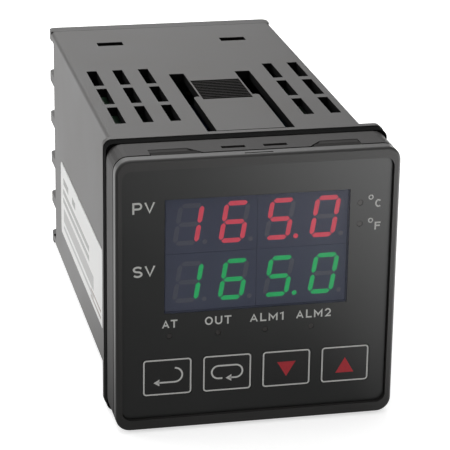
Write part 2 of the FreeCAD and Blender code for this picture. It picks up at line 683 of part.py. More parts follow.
def make_front_frame():
    ring = slab("frame_ring", middle("bezel_side / 2"), (FACE, FRAME_REAR), middle("bezel_side / 2"),
                "bezel_corner", front_edge="bezel_edge")
    skirt = box("frame_skirt", middle(f"{SLEEVE_INNER} - skirt_fit"), (FRAME_REAR, BOARD_FRONT),
                middle(f"{SLEEVE_INNER} - skirt_fit"))
    seat = slab("frame_seat", middle("bezel_side / 2 - rim_side"), (f"{FACE} - {BEYOND}", PANEL_BACK),
                middle("bezel_side / 2 - rim_top"), "rim_corner")
    mouth = box("frame_mouth", middle("bezel_side / 2 - rim_side - ledge_side"),
                (f"{FACE} - {BEYOND}", f"{BOARD_FRONT} + {BEYOND}"),
                middle("bezel_side / 2 - rim_top - ledge_top"))
    start = f"{FACE} + notch_setback"
    notch_y = (start, f"{start} + notch_length")
    notches = [
        box("notch_top", middle("notch_width / 2"), notch_y,
            ("bezel_side / 2 - notch_depth", f"bezel_side / 2 + {BEYOND}")),
        box("notch_low", middle("notch_width / 2"), notch_y,
            (f"-bezel_side / 2 - {BEYOND}", "-bezel_side / 2 + notch_depth")),
    ]
    solid = join("frame_solid", [ring, skirt] + frame_tabs() + frame_hooks())
    return keep_node(cut("front_frame_solid", solid, [seat, mouth] + notches), "front_frame")


make_front_frame()

# ---------------------------------------------------------------------------
# Face plate, window and keys
# ---------------------------------------------------------------------------
KEYS = ["return", "cycle", "down", "up"]
LAMPS = [
    ("led_tuning", "tuning_x", "lamp_row_z"),
    ("led_output", "output_x", "lamp_row_z"),
    ("led_alarm_1", "alarm_first_x", "lamp_row_z"),
    ("led_alarm_2", "alarm_second_x", "lamp_row_z"),
    ("led_celsius", "unit_lamp_x", "celsius_z"),
    ("led_fahrenheit", "unit_lamp_x", "fahrenheit_z"),
]


def key_x(index):
    return f"(key_row_x + ({index} - {(len(KEYS) - 1) / 2}) * key_pitch)"


def window_block(name, y, grow):
    return box(name, middle(f"window_width / 2 + {grow}"), y, middle(f"window_height / 2 + {grow}", "window_z"))


def make_front_panel():
    plate = slab("panel_plate_blank", middle("bezel_side / 2 - rim_side - panel_fit"), (PANEL_FACE, PANEL_BACK),
                 middle("bezel_side / 2 - rim_top - panel_fit"), "rim_corner - panel_fit")
    past = (f"{PANEL_FACE} - {BEYOND}", f"{PANEL_BACK} + {BEYOND}")
    tools = [window_block("window_hole", past, "0")]
    for index, name in enumerate(KEYS):
        tools.append(slab(f"key_hole_{name}", middle("key_width / 2 + key_fit", key_x(index)), past,
                          middle("key_height / 2 + key_fit", "key_row_z"), "key_corner + key_fit"))
    for name, x, z in LAMPS:
        tools.append(rod(f"hole_{name}", "y", x, past[0], z, "lamp_radius + lamp_fit",
                         f"panel_plate + 2 * {BEYOND}"))
    return keep_node(cut("front_panel_solid", plate, tools), "front_panel")


make_front_panel()
keep_node(window_block("window_pane", (PANEL_FACE, PANEL_BACK), "(-window_fit)"), "display_window")


def make_key(index, name):
    """A cap flush with the face plate, a retaining flange behind it and its switch plunger."""
    x = key_x(index)
    flange_front = f"{PANEL_BACK} + key_flange_gap"
    plunger_top = f"({BOARD_FRONT} - switch_height - key_travel - key_spare)"
    stroke = "key_travel + key_spare + plunger_engage"
    cap = slab(f"cap_{name}", middle("key_width / 2", x), (PANEL_FACE, flange_front),
               middle("key_height / 2", "key_row_z"), "key_corner")
    foot = slab(f"foot_{name}", middle("key_width / 2 + key_flange", x), (flange_front, plunger_top),
                middle("key_height / 2 + key_flange", "key_row_z"), "key_corner + key_flange")
    keep_node(join(f"key_{name}_solid", [cap, foot]), f"key_{name}")
    keep_node(rod(f"plunger_{name}_rod", "y", x, plunger_top, "key_row_z", "plunger_radius", stroke),
              f"plunger_{name}")
    base = box(f"switch_{name}_case", middle("switch_side / 2", x),
               (f"{BOARD_FRONT} - switch_height", BOARD_FRONT), middle("switch_side / 2", "key_row_z"))
    bore = rod(f"switch_{name}_bore", "y", x, f"{BOARD_FRONT} - switch_height - {BEYOND}", "key_row_z",
               "plunger_radius + plunger_fit", f"{BEYOND} + {stroke}")
    keep_node(cut(f"switch_{name}_solid", base, [bore]), f"switch_{name}")


for key_index, key_name in enumerate(KEYS):
    make_key(key_index, key_name)


# ---------------------------------------------------------------------------
# Indicator lamps: a square foot on the board and a light pipe to the face plate
# ---------------------------------------------------------------------------
def make_lamp(name, x, z):
    foot = box(f"{name}_foot", middle("lamp_foot / 2", x), (f"{BOARD_FRONT} - lamp_foot_height", BOARD_FRONT),
               middle("lamp_foot / 2", z))
    pipe = rod(f"{name}_pipe", "y", x, f"{PANEL_FACE} + lamp_fit", z, "lamp_radius",
               f"{BOARD_FRONT} - lamp_foot_height / 2 - {PANEL_FACE} - lamp_fit")
    keep_node(join(f"{name}_solid", [foot, pipe]), name)


for lamp in LAMPS:
    make_lamp(*lamp)

# ---------------------------------------------------------------------------
# Display modules and their light bars
# ---------------------------------------------------------------------------
# Bars of a seven-segment digit, named a to g, that show each figure
FIGURES = {"1": "bc", "6": "acdefg", "5": "acdfg", "0": "abcdef"}
READING = "1650"
POINT_AFTER = 2


def bar_solid(bar, centre_x, centre_z):
    """One six-cornered bar, leaned with its digit and sunk in the face of the module."""
    half = size("bar_width") / 2
    across = size("digit_width") / 2 - half
    up = size("digit_height") / 2 - half
    lean = math.tan(math.radians(size("digit_slant")))
    middle_x, middle_z, level = {
        "a": (0, up, True), "d": (0, -up, True), "g": (0, 0, True),
        "b": (across, up / 2, False), "c": (across, -up / 2, False),
        "e": (-across, -up / 2, False), "f": (-across, up / 2, False),
    }[bar]
    reach = (across if level else up / 2) - size("bar_gap")
    outline = [(-reach, 0), (-reach + half, half), (reach - half, half), (reach, 0),
               (reach - half, -half), (-reach + half, -half)]
    corners = []
    for along, aside in outline:
        x = middle_x + (along if level else aside)
        z = middle_z + (aside if level else along)
        corners.append(FreeCAD.Vector(centre_x + x + lean * z, module_face, centre_z + z))
    face = Part.Face(Part.makePolygon(corners + corners[:1]))
    return face.extrude(FreeCAD.Vector(0, size("bar_depth"), 0))


def point_solid(centre_x, centre_z):
    """A decimal point, a round light at the foot of a digit."""
    start = FreeCAD.Vector(centre_x + size("point_x"), module_face, centre_z - size("point_z"))
    return Part.makeCylinder(size("point_radius"), size("bar_depth"), start, FreeCAD.Vector(0, 1, 0))


def make_row(row, sign):
    """Two modules side by side and the bars of their four digits, lit and dark."""
    row_z = f"(display_z + {sign} * (module_height + module_joint) / 2)"
    centre_z = size("display_z") + sign * (size("module_height") + size("module_joint")) / 2
    lit = []
    dark = []
    for place, figure in enumerate(READING):
        centre_x = size("display_shift") + (place - 1.5) * size("digit_pitch")
        for bar in "abcdefg":
            (lit if bar in FIGURES[figure] else dark).append(bar_solid(bar, centre_x, centre_z))
        (lit if place == POINT_AFTER else dark).append(point_solid(centre_x, centre_z))
    bars = []
    for state, solids in (("lit", lit), ("dark", dark)):
        item = doc.addObject("Part::Feature", f"{row}_bars_{state}")
        item.Shape = Part.makeCompound(solids)
        item.Placement = FreeCAD.Placement()
        bars.append(keep_node(item, f"{row}_segments_{state}"))
    for side, x in (("left", ("display_shift - module_joint / 2 - module_width", "display_shift - module_joint / 2")),
                    ("right", ("display_shift + module_joint / 2", "display_shift + module_joint / 2 + module_width"))):
        blank = box(f"{row}_blank_{side}", x, (MODULE_FACE, BOARD_FRONT), middle("module_height / 2", row_z))
        keep_node(cut(f"{row}_body_{side}", blank, bars), f"{row}_module_{side}")


module_face = (-size("flange_depth") - size("gasket_depth") - size("sleeve_depth") - size("seam_gap")
               - size("lip_depth") + size("panel_recess") + size("panel_plate") + size("window_gap"))
make_row("pv", 1)
make_row("sv", -1)

# ---------------------------------------------------------------------------
# Circuit boards and the connectors between them
# ---------------------------------------------------------------------------
OUTER_PITCH = "((case_height - barrier_rib) / outer_terminals)"


def terminals():
    """Screw position of every terminal and the direction of its pin, column by column."""
    places = []
    for sign in ("-1", "1"):
        count = int(size("outer_terminals"))
        for k in range(count):
            places.append((f"{sign} * terminal_x", f"(({k} - {(count - 1) / 2}) * {OUTER_PITCH})",
                           f"{sign} * (terminal_x - pin_offset)"))
    count = int(size("middle_terminals"))
    for k in range(count):
        places.append(("0", f"(({k} - {(count - 1) / 2}) * {OUTER_PITCH})", "pin_offset"))
    return places


TERMINALS = terminals()


def make_boards():
    face = f"({SLEEVE_INNER} - board_fit)"
    keep_node(box("display_card", middle(face), (BOARD_FRONT, WEB_FRONT), middle(face)), "display_board")
    for name, sign in (("control_board", "-1"), ("power_board", "1")):
        keep_node(box(name + "_card", middle("board_thick / 2", f"{sign} * side_board_x"),
                      (WEB_FRONT, REAR_BOARD_FRONT), middle("side_board_height / 2")), name)
    card = box("rear_card", middle("rear_board_side / 2"), (REAR_BOARD_FRONT, "block_front"),
               middle("rear_board_side / 2"))
    holes = [box(f"card_hole_{k}", middle("pin_side / 2 + pin_fit", pin),
                 (f"{REAR_BOARD_FRONT} - {BEYOND}", f"block_front + {BEYOND}"),
                 middle("pin_side / 2 + pin_fit", z))
             for k, (x, z, pin) in enumerate(TERMINALS)]
    keep_node(cut("rear_card_drilled", card, holes), "rear_board")
    inner = "(side_board_x - board_thick / 2)"
    sides = {"left": (f"-{inner}", f"-{inner} + socket_width"), "right": (f"{inner} - socket_width", inner)}
    for side, x in sides.items():
        keep_node(box(f"front_socket_{side}_case", x, (WEB_FRONT, f"{WEB_FRONT} + socket_depth"),
                      middle("front_socket_height / 2")), f"front_socket_{side}")
        keep_node(box(f"rear_socket_{side}_case", x, (f"{REAR_BOARD_FRONT} - socket_depth", REAR_BOARD_FRONT),
                      middle("rear_socket_height / 2")), f"rear_socket_{side}")


make_boards()


# ---------------------------------------------------------------------------
# Parts on the power board: transformer, relays and capacitors
# ---------------------------------------------------------------------------
def make_transformer():
    """A core with two windows round a wound bobbin whose foot stands on the board."""
    board = "(side_board_x - board_thick / 2)"
    back = f"({board} - bobbin_foot - coil_wrap)"
    front = f"({back} - core_thick)"
    middle_y = "(core_y + core_length / 2)"
    blank = box("core_blank", (front, back), ("core_y", "core_y + core_length"), middle("core_height / 2"))
    windows = []
    for side, sign in (("front", "-1"), ("rear", "1")):
        centre = f"{middle_y} + {sign} * (core_length / 2 - core_leg + core_centre_leg / 2) / 2"
        width = "(core_length / 2 - core_leg - core_centre_leg / 2)"
        windows.append(box(f"core_window_{side}", (f"{front} - {BEYOND}", f"{back} + {BEYOND}"),
                           middle(f"{width} / 2", centre), middle("core_height / 2 - core_leg")))
    keep_node(cut("core_solid", blank, windows), "transformer_core")
    winding = box("winding", (f"{front} - coil_wrap", f"{back} + coil_wrap"),
                  middle("core_length / 2 - core_leg - coil_fit", middle_y),
                  middle("core_height / 2 - core_leg - coil_fit"))
    foot = box("bobbin_foot_plate", (f"{back} + coil_wrap / 2", board), middle("bobbin_length / 2", middle_y),
               middle("bobbin_height / 2"))
    hole = box("winding_hole", (f"{front} - coil_fit", f"{back} + coil_fit"),
               middle("core_centre_leg / 2 + coil_fit", middle_y), middle("core_height"))
    keep_node(cut("winding_solid", join("winding_and_foot", [winding, foot]), [hole]), "transformer_coil")


def make_power_parts():
    board = "(side_board_x - board_thick / 2)"
    for name, z in (("relay_output", ("relay_gap", "relay_gap + relay_width")),
                    ("relay_alarm", ("-relay_gap - relay_width", "-relay_gap"))):
        keep_node(box(name + "_case", (f"{board} - relay_height", board), ("relay_y", "relay_y + relay_length"),
                      z), name)
    for name in ("capacitor_main", "capacitor_low"):
        keep_node(rod(name + "_can", "x", f"{board} - {name}_height", "capacitor_y", f"{name}_z",
                      f"{name}_radius", f"{name}_height"), name)


def make_control_parts():
    board = "(-side_board_x + board_thick / 2)"
    keep_node(box("processor_case", (board, f"{board} + processor_thick"),
                  ("processor_y", "processor_y + processor_side"), middle("processor_side / 2")),
              "processor_chip")
    keep_node(box("memory_case", (board, f"{board} + memory_thick"), ("memory_y", "memory_y + memory_length"),
                  middle("memory_width / 2")), "memory_chip")
    keep_node(box("opto_case", (board, f"{board} + opto_thick"), ("opto_y", "opto_y + opto_length"),
                  ("opto_z", "opto_z + opto_width")), "optocoupler")


make_transformer()
make_power_parts()
make_control_parts()


# ---------------------------------------------------------------------------
# Terminal block: base inside the case, barrier ribs and column walls behind it
# ---------------------------------------------------------------------------
def make_terminal_block():
    rear_front = "(case_depth + block_gap)"
    base = box("block_base", middle(f"{CAVITY_X} - case_fit"), ("block_front", "side_depth"),
               middle(f"{CAVITY_Z} - case_fit"))
    waist = box("block_waist", middle("case_width / 2"), ("side_depth", rear_front),
                middle(f"{CAVITY_Z} - case_fit - roof_web / 2"))
    rear = slab("block_rear", middle("case_width / 2"), (rear_front, "barrier_end"), middle("case_height / 2"),
                "barrier_corner", along="z", keep=lambda point: point.y > 1)
    pockets = []
    height = f"({OUTER_PITCH} - barrier_rib)"
    for k, (x, z, pin) in enumerate(TERMINALS):
        wide = {"-1": (f"-case_width / 2 - {BEYOND}", "-column_half"),
                "1": ("column_half", f"case_width / 2 + {BEYOND}"),
                "0": middle("column_half - column_wall")}[x.split(" ")[0]]
        pockets.append(box(f"pocket_{k}", wide, ("side_depth", f"barrier_end + {BEYOND}"),
                           middle(f"{height} / 2", z)))
    ribs = cut("block_ribs", join("block_solid", [waist, rear]), pockets)
    webs = [box("web_top", middle("case_width / 2 - roof_inset"), ("side_depth", f"{rear_front} + roof_lap"),
                (f"{CAVITY_Z} - case_fit - roof_web", f"{CAVITY_Z} - case_fit")),
            box("web_low", middle("case_width / 2 - roof_inset"), ("side_depth", f"{rear_front} + roof_lap"),
                (f"-({CAVITY_Z} - case_fit)", f"-({CAVITY_Z} - case_fit - roof_web)"))]
    hooks = []
    for side, sign in (("left", "-1"), ("right", "1")):
        for place, z in (("top", (f"{CAVITY_Z} - case_wall", f"{CAVITY_Z} + case_wall / 2")),
                         ("low", (f"-{CAVITY_Z} - case_wall / 2", f"-{CAVITY_Z} + case_wall"))):
            hooks.append(box(f"snap_hook_{side}_{place}", middle("snap_width / 2 - snap_fit", f"{sign} * snap_x"),
                             ("snap_y + snap_fit", "snap_y + snap_length - snap_fit"), z))
    bores = []
    for k, (x, z, pin) in enumerate(TERMINALS):
        bores.append(rod(f"screw_bore_{k}", "y", x, "side_depth - screw_grip - screw_spare", z,
                         "screw_radius + screw_fit", f"screw_grip + screw_spare + {BEYOND}"))
        bores.append(box(f"pin_bore_{k}", middle("pin_side / 2 + pin_fit", pin),
                         (f"block_front - {BEYOND}", f"side_depth + {BEYOND}"),
                         middle("pin_side / 2 + pin_fit", z)))
    whole = join("block_whole", [base, ribs] + webs + hooks)
    keep_node(cut("block_drilled", whole, bores), "terminal_block")


def make_terminals():
    """Contacts with their pins, clamp plates and screws, one of each for every terminal."""
    plates, pins, holes, clamps, clamp_holes, heads, shanks, slots = [[] for _ in range(8)]
    for k, (x, z, pin) in enumerate(TERMINALS):
        plates.append(box(f"contact_{k}", middle("contact_width / 2", x),
                          ("side_depth", "side_depth + contact_thick"), middle("contact_height / 2", z)))
        pins.append(box(f"pin_{k}", middle("pin_side / 2", pin),
                        (f"{REAR_BOARD_FRONT} - pin_reach", "side_depth + contact_thick / 2"),
                        middle("pin_side / 2", z)))
        holes.append(rod(f"contact_hole_{k}", "y", x, f"side_depth - {BEYOND}", z, "screw_radius + screw_fit",
                         f"contact_thick + 2 * {BEYOND}"))
        clamps.append(box(f"clamp_{k}", middle("clamp_width / 2", x), (CLAMP_FRONT, HEAD_SEAT),
                          middle("contact_height / 2", z)))
        clamp_holes.append(rod(f"clamp_hole_{k}", "y", x, f"{CLAMP_FRONT} - {BEYOND}", z,
                               "screw_radius + screw_fit", f"clamp_thick + 2 * {BEYOND}"))
        heads.append(rod(f"head_{k}", "y", x, HEAD_SEAT, z, "head_radius", "head_height"))
        shanks.append(rod(f"shank_{k}", "y", x, "side_depth - screw_grip", z, "screw_radius",
                          f"{HEAD_SEAT} + head_height / 2 - side_depth + screw_grip"))
        slots.append(box(f"head_slot_{k}", middle("head_slot / 2", x),
                         (f"{HEAD_SEAT} + head_height - head_slot_depth", f"{HEAD_SEAT} + head_height + {BEYOND}"),
                         middle(f"head_radius + {BEYOND}", z)))
    keep_node(cut("contacts_drilled", join("contacts_solid", plates + pins), holes), "terminal_contacts")
    keep_node(cut("clamps_drilled", group("clamps_solid", clamps), clamp_holes), "terminal_plates")
    keep_node(cut("screws_slotted", join("screws_solid", heads + shanks), slots), "terminal_screws")


make_terminal_block()
make_terminals()

# ---------------------------------------------------------------------------
# Label on the left wall
# ---------------------------------------------------------------------------
keep_node(slab("label_sheet", ("-case_width / 2 - label_thick", "-case_width / 2"),
               ("label_front", "label_front + label_length"), ("label_z", "label_z + label_height"),
               "label_corner", along="x"), "side_label")

# ---------------------------------------------------------------------------
# Check every object, then write the sub-parts
# ---------------------------------------------------------------------------
doc.recompute()
for item in doc.Objects:
    if "Invalid" in item.State or "Error" in item.State:
        raise RuntimeError(f"{item.Name} did not compute: {item.State}")
for node, item in nodes:
    if item.Shape.isNull() or not item.Shape.isValid() or not item.Shape.Solids:
        raise RuntimeError(f"{node} has no sound solid")

os.makedirs("parts", exist_ok=True)
for node, item in nodes:
    item.Shape.exportStep(f"parts/{node}.step")
    print(f"{node}: {len(item.Shape.Solids)} solids, {item.Shape.Volume:.1f} mm3")
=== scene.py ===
import math

import bmesh
import bpy
from mathutils import Matrix, Vector


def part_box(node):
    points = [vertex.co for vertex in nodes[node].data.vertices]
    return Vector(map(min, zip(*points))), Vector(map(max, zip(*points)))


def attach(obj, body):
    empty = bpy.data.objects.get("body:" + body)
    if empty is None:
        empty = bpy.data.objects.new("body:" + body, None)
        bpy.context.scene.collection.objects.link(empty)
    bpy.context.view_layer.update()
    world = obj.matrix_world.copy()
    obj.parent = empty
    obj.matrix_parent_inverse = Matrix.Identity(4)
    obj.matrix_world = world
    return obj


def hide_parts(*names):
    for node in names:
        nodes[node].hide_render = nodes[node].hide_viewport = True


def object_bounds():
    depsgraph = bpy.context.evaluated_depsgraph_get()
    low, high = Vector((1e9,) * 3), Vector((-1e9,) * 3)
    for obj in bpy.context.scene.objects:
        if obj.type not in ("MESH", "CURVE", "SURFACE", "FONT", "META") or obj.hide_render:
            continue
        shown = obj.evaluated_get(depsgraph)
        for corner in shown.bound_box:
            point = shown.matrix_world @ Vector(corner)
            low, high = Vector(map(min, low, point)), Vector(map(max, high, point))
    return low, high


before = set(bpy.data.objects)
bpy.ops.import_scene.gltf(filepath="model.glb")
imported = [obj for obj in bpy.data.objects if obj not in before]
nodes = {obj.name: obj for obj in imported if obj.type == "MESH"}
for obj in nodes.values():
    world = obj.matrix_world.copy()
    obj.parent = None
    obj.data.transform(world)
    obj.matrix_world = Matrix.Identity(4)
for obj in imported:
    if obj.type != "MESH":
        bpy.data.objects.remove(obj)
cad_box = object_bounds()

# ---------------------------------------------------------------------------
# Rear case: the long housing behind the panel, one moulding in flame-retardant ABS, dark warm grey.
# Its spark-eroded tool leaves a fine grain that scatters gloss, so walls look paler at a grazing angle.
# ---------------------------------------------------------------------------
MM = 0.001


def linear(shade):
    """An sRGB hex colour as the linear one that shaders take."""
    parts = [int(shade[place:place + 2], 16) / 255 for place in (0, 2, 4)]
    levels = [part / 12.92 if part <= 0.04045 else ((part + 0.055) / 1.055) ** 2.4 for part in parts]
    return levels + [1.0]


def add(tree, kind, inputs=(), **settings):
    """One shader node with its settings, and its inputs given as values or as sockets to link."""
    node = tree.nodes.new("ShaderNode" + kind)
    for name, value in settings.items():
        setattr(node, name, value)
    for name, value in dict(inputs).items():
        if isinstance(value, bpy.types.NodeSocket):
            tree.links.new(value, node.inputs[name])
        else:
            node.inputs[name].default_value = value
    return node


def new_material(name):
    """An empty material and its node tree."""
    made = bpy.data.materials.new(name)
    made.use_nodes = True
    made.node_tree.nodes.clear()
    return made, made.node_tree


def surface(tree, shader):
    """Puts a shader on the material's output."""
    add(tree, "OutputMaterial", {"Surface": shader.outputs[0]})


def within(tree, place, limits):
    """1 inside a box given in millimetres as (axis, low, high), 0 outside it."""
    inside = None
    for axis, low, high in limits:
        for kind, limit in (("GREATER_THAN", low), ("LESS_THAN", high)):
            test = add(tree, "Math", {0: place.outputs[axis], 1: limit * MM}, operation=kind)
            inside = test if inside is None else add(
                tree, "Math", {0: inside.outputs[0], 1: test.outputs[0]}, operation="MULTIPLY")
    return inside.outputs[0]


# Most of the noise lies between these two, so the shades meet in soft patches.
PATCH_START, PATCH_END = 0.35, 0.68
GLOSS_BELOW, GLOSS_ABOVE = 0.04, 0.05


def moulded_plastic(name, low, high, rough, grain_mm, grain_height_mm, patch_mm=14.0, ior=1.52,
                    core=None, painted_shade="080808"):
    """Moulded thermoplastic: two close shades in wide faint patches and a fine eroded grain.

    low and high are the two shades, and rough is the middle of the roughness. Faces inside the given
    box get painted shade: a flat dark matt colour in place of the plastic, for shaded hollows.
    """
    made, tree = new_material(name)
    place = add(tree, "TexCoord").outputs["Object"]
    patches = add(tree, "TexNoise", {"Vector": place, "Scale": 1 / (patch_mm * MM), "Detail": 3.0})
    grain = add(tree, "TexNoise", {
        "Vector": place, "Scale": 1 / (grain_mm * MM), "Detail": 2.0, "Roughness": 0.6})
    shade = add(tree, "ValToRGB", {"Fac": patches.outputs["Fac"]})
    first, last = shade.color_ramp.elements
    first.position = PATCH_START
    first.color = linear(low)
    last.position = PATCH_END
    last.color = linear(high)
    gloss = add(tree, "MapRange", {
        "Value": patches.outputs["Fac"], "To Min": rough - GLOSS_BELOW, "To Max": rough + GLOSS_ABOVE})
    bump = add(tree, "Bump", {
        "Height": grain.outputs["Fac"], "Strength": 0.5, "Distance": grain_height_mm * MM})
    outside = add(tree, "BsdfPrincipled", {
        "Base Color": shade.outputs["Color"], "Roughness": gloss.outputs["Result"],
        "IOR": ior, "Normal": bump.outputs["Normal"]})
    if core is None:
        surface(tree, outside)
        return made
    # Painted shade: faces inside the box take a flat dark matt colour instead of the plastic.
    inside = within(tree, add(tree, "SeparateXYZ", {"Vector": place}), core)
    painted_shade_bsdf = add(tree, "BsdfPrincipled", {
        "Base Color": linear(painted_shade), "Roughness": 0.8, "IOR": 1.2})
    surface(tree, add(tree, "MixShader", {"Fac": inside, 1: outside.outputs[0], 2: painted_shade_bsdf.outputs[0]}))
    return made


def dress(material, *names):
    """Gives CAD nodes their finish."""
    for name in names:
        nodes[name].data.materials.clear()
        nodes[name].data.materials.append(material)


# The real grain is about 0.1 mm. It is drawn at 0.35 mm, which is as fine as the render shows.
# The box takes in the walls of the vents and slots and stops short of the outer faces. Faces inside
# it get painted shade, near black, for the shade deep in the vents and slots.
CASE_PAINTED_SHADE_BOX = [("X", -21.4, 21.4), ("Y", 0.1, 71.2), ("Z", -22.3, 22.3)]
housing_abs = moulded_plastic("housing_abs_spark_eroded", "2c2a29", "35322f", 0.5, 0.35, 0.02,
                              core=CASE_PAINTED_SHADE_BOX)
dress(housing_abs, "rear_case")

# ---------------------------------------------------------------------------
# Front frame: the bezel round the face, a moulding in the same ABS from a tool with a finer grain,
# so a little glossier than the case. It snaps on the sleeve. Its rear part, with the tabs seen in the
# scoops and the hooks seen in their windows, gets painted shade, a flat darker colour.
# ---------------------------------------------------------------------------
# Painted shade on the frame's rear part: its tabs in the scoops and its hooks in their windows.
FRAME_PAINTED_SHADE_BOX = [("Y", -10.49, -8.0)]
frame_abs = moulded_plastic("front_frame_abs_fine_grain", "2b2a29", "323130", 0.46, 0.3, 0.01,
                            core=FRAME_PAINTED_SHADE_BOX, painted_shade="262524")
dress(frame_abs, "front_frame")

# ---------------------------------------------------------------------------
# Bezel sleeve: the square ring between the front frame and the gasket, with a spigot that snaps into
# the case. It is ABS off a coarser tool, darker and more matt than its neighbours, so it takes little
# light from the side. Shallow scoops rise from the seam to its back, on the roof and the floor.
# ---------------------------------------------------------------------------


def rounded_outline(half_x, half_z, corner, steps=5):
    """Outline of a rectangle with rounded corners in millimetres, anticlockwise from the right."""
    outline = []
    for turn, (sign_x, sign_z) in enumerate(((1, 1), (-1, 1), (-1, -1), (1, -1))):
        for k in range(steps + 1):
            angle = math.pi / 2 * (turn + k / steps)
            outline.append((sign_x * (half_x - corner) + corner * math.cos(angle),
                            sign_z * (half_z - corner) + corner * math.sin(angle)))
    return outline


def sharp_outline(low_x, high_x, low_z, high_z):
    """Outline of a rectangle with sharp corners in millimetres, in the same direction."""
    return [(high_x, high_z), (low_x, high_z), (low_x, low_z), (high_x, low_z)]


def mesh_from(form, name):
    """Turns a finished bmesh into a mesh and frees it."""
    mesh = bpy.data.meshes.new(name)
    form.to_mesh(mesh)
    form.free()
    return mesh


def block(front, rear, y_front, y_rear):
    """A closed solid between two outlines in millimetres, one at each end along Y."""
    form = bmesh.new()
    ends = [[form.verts.new((x * MM, y * MM, z * MM)) for x, z in outline]
            for outline, y in ((front, y_front), (rear, y_rear))]
    count = len(front)
    for place in range(count):
        after = (place + 1) % count
        form.faces.new((ends[0][place], ends[0][after], ends[1][after], ends[1][place]))
    form.faces.new(ends[0])
    form.faces.new(ends[1])
    bmesh.ops.recalc_face_normals(form, faces=form.faces)
    return mesh_from(form, "block")


def carved(start, joined, cut):
    """The first solid with others joined to it and then cut from it."""
    piece = bpy.data.objects.new("carved", start)
    bpy.context.scene.collection.objects.link(piece)
    tools = [bpy.data.objects.new("tool", mesh) for mesh in joined + cut]
    for place, tool in enumerate(tools):
        bpy.context.scene.collection.objects.link(tool)
        step = piece.modifiers.new("step", "BOOLEAN")
        step.operation = "UNION" if place < len(joined) else "DIFFERENCE"
        step.solver = "EXACT"
        step.object = tool
    ready = piece.evaluated_get(bpy.context.evaluated_depsgraph_get())
    mesh = bpy.data.meshes.new_from_object(ready)
    for item in [piece] + tools:
        bpy.data.objects.remove(item)
    return mesh


def finish_piece(name, mesh, material, body, at=(0, 0, 0)):
    """Turns a mesh into a named piece with its finish, on the body that carries it."""
    piece = bpy.data.objects.new(name, mesh)
    bpy.context.scene.collection.objects.link(piece)
    mesh.transform(Matrix.Translation(at))
    mesh.materials.clear()
    mesh.materials.append(material)
    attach(piece, body)
    return piece


# Sizes in millimetres, and places along Y from the rear face of the case's flange.
BEZEL_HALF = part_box("bezel_sleeve")[1].x / MM
SPIGOT_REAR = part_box("bezel_sleeve")[1].y / MM
BEZEL_CORNER = 2.5
SLEEVE_FRONT, SLEEVE_REAR = -10.0, -3.6
SLEEVE_WALL, SLEEVE_WEB = 1.6, 1.4
SPIGOT_X, SPIGOT_Z, SPIGOT_WALL = 20.45, 20.57, 1.2
# Spigot and ring share this depth, so that the two join as one solid.
SPIGOT_ROOT = 0.2
SCOOP_OUTER, SCOOP_INNER_FRONT, SCOOP_INNER_REAR = 17.8, 9.0, 11.3
SCOOP_REAR, SCOOP_DEEP, SCOOP_SHALLOW = -7.4, 0.8, 0.05
HOOK_X, HOOK_HALF, HOOK_FRONT, HOOK_REAR = 3.55, 2.0, -8.6, -7.5
# How far a cutting solid reaches past the face that it cuts through.
BEYOND = 1.0


def scoop(side, up):
    """The solid that cuts one scoop: side is left or right, up is the roof or the floor."""
    ends = []
    for edge, depth in ((SCOOP_INNER_FRONT, SCOOP_DEEP), (SCOOP_INNER_REAR, SCOOP_SHALLOW)):
        across = sorted((side * edge, side * SCOOP_OUTER))
        rise = sorted((up * (BEZEL_HALF - depth), up * (BEZEL_HALF + BEYOND)))
        ends.append(sharp_outline(*across, *rise))
    return block(*ends, SLEEVE_FRONT, SCOOP_REAR)


def bezel_sleeve():
    """The ring and its spigot, hollow, with four scoops and the windows of the frame's hooks."""
    outer = rounded_outline(BEZEL_HALF, BEZEL_HALF, BEZEL_CORNER)
    inner = BEZEL_HALF - SLEEVE_WALL
    hollow = sharp_outline(-inner, inner, -inner, inner)
    spigot = sharp_outline(-SPIGOT_X, SPIGOT_X, -SPIGOT_Z, SPIGOT_Z)
    bore_x = SPIGOT_X - SPIGOT_WALL
    bore_z = SPIGOT_Z - SPIGOT_WALL
    bore = sharp_outline(-bore_x, bore_x, -bore_z, bore_z)
    cut = [block(hollow, hollow, SLEEVE_FRONT - BEYOND, SLEEVE_REAR - SLEEVE_WEB),
           block(bore, bore, SLEEVE_FRONT - BEYOND, SPIGOT_REAR + BEYOND)]
    for side in (-1, 1):
        hook = sharp_outline(side * HOOK_X - HOOK_HALF, side * HOOK_X + HOOK_HALF,
                             -BEZEL_HALF - BEYOND, BEZEL_HALF + BEYOND)
        cut.append(block(hook, hook, HOOK_FRONT, HOOK_REAR))
        cut += [scoop(side, up) for up in (-1, 1)]
    return carved(block(outer, outer, SLEEVE_FRONT, SLEEVE_REAR),
                  [block(spigot, spigot, SLEEVE_REAR - SPIGOT_ROOT, SPIGOT_REAR)], cut)


# Its coarse grain returns less light than smooth ABS, which the low IOR stands for.
sleeve_abs = moulded_plastic("bezel_sleeve_abs_matt", "221f1f", "282625", 0.58, 0.35, 0.02, ior=1.36)
sleeve = finish_piece("bezel_sleeve_with_scoops", bezel_sleeve(), sleeve_abs, "controller")
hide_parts("bezel_sleeve")

# ---------------------------------------------------------------------------
# Gasket: a die-cut frame of closed-cell neoprene foam, squeezed between the sleeve and the flange.
# It is the blackest part, with its small cells cut open on the edge and hardly any gloss.
# ---------------------------------------------------------------------------
PORE_SIZE, PORE_DEPTH = 0.45, 0.06


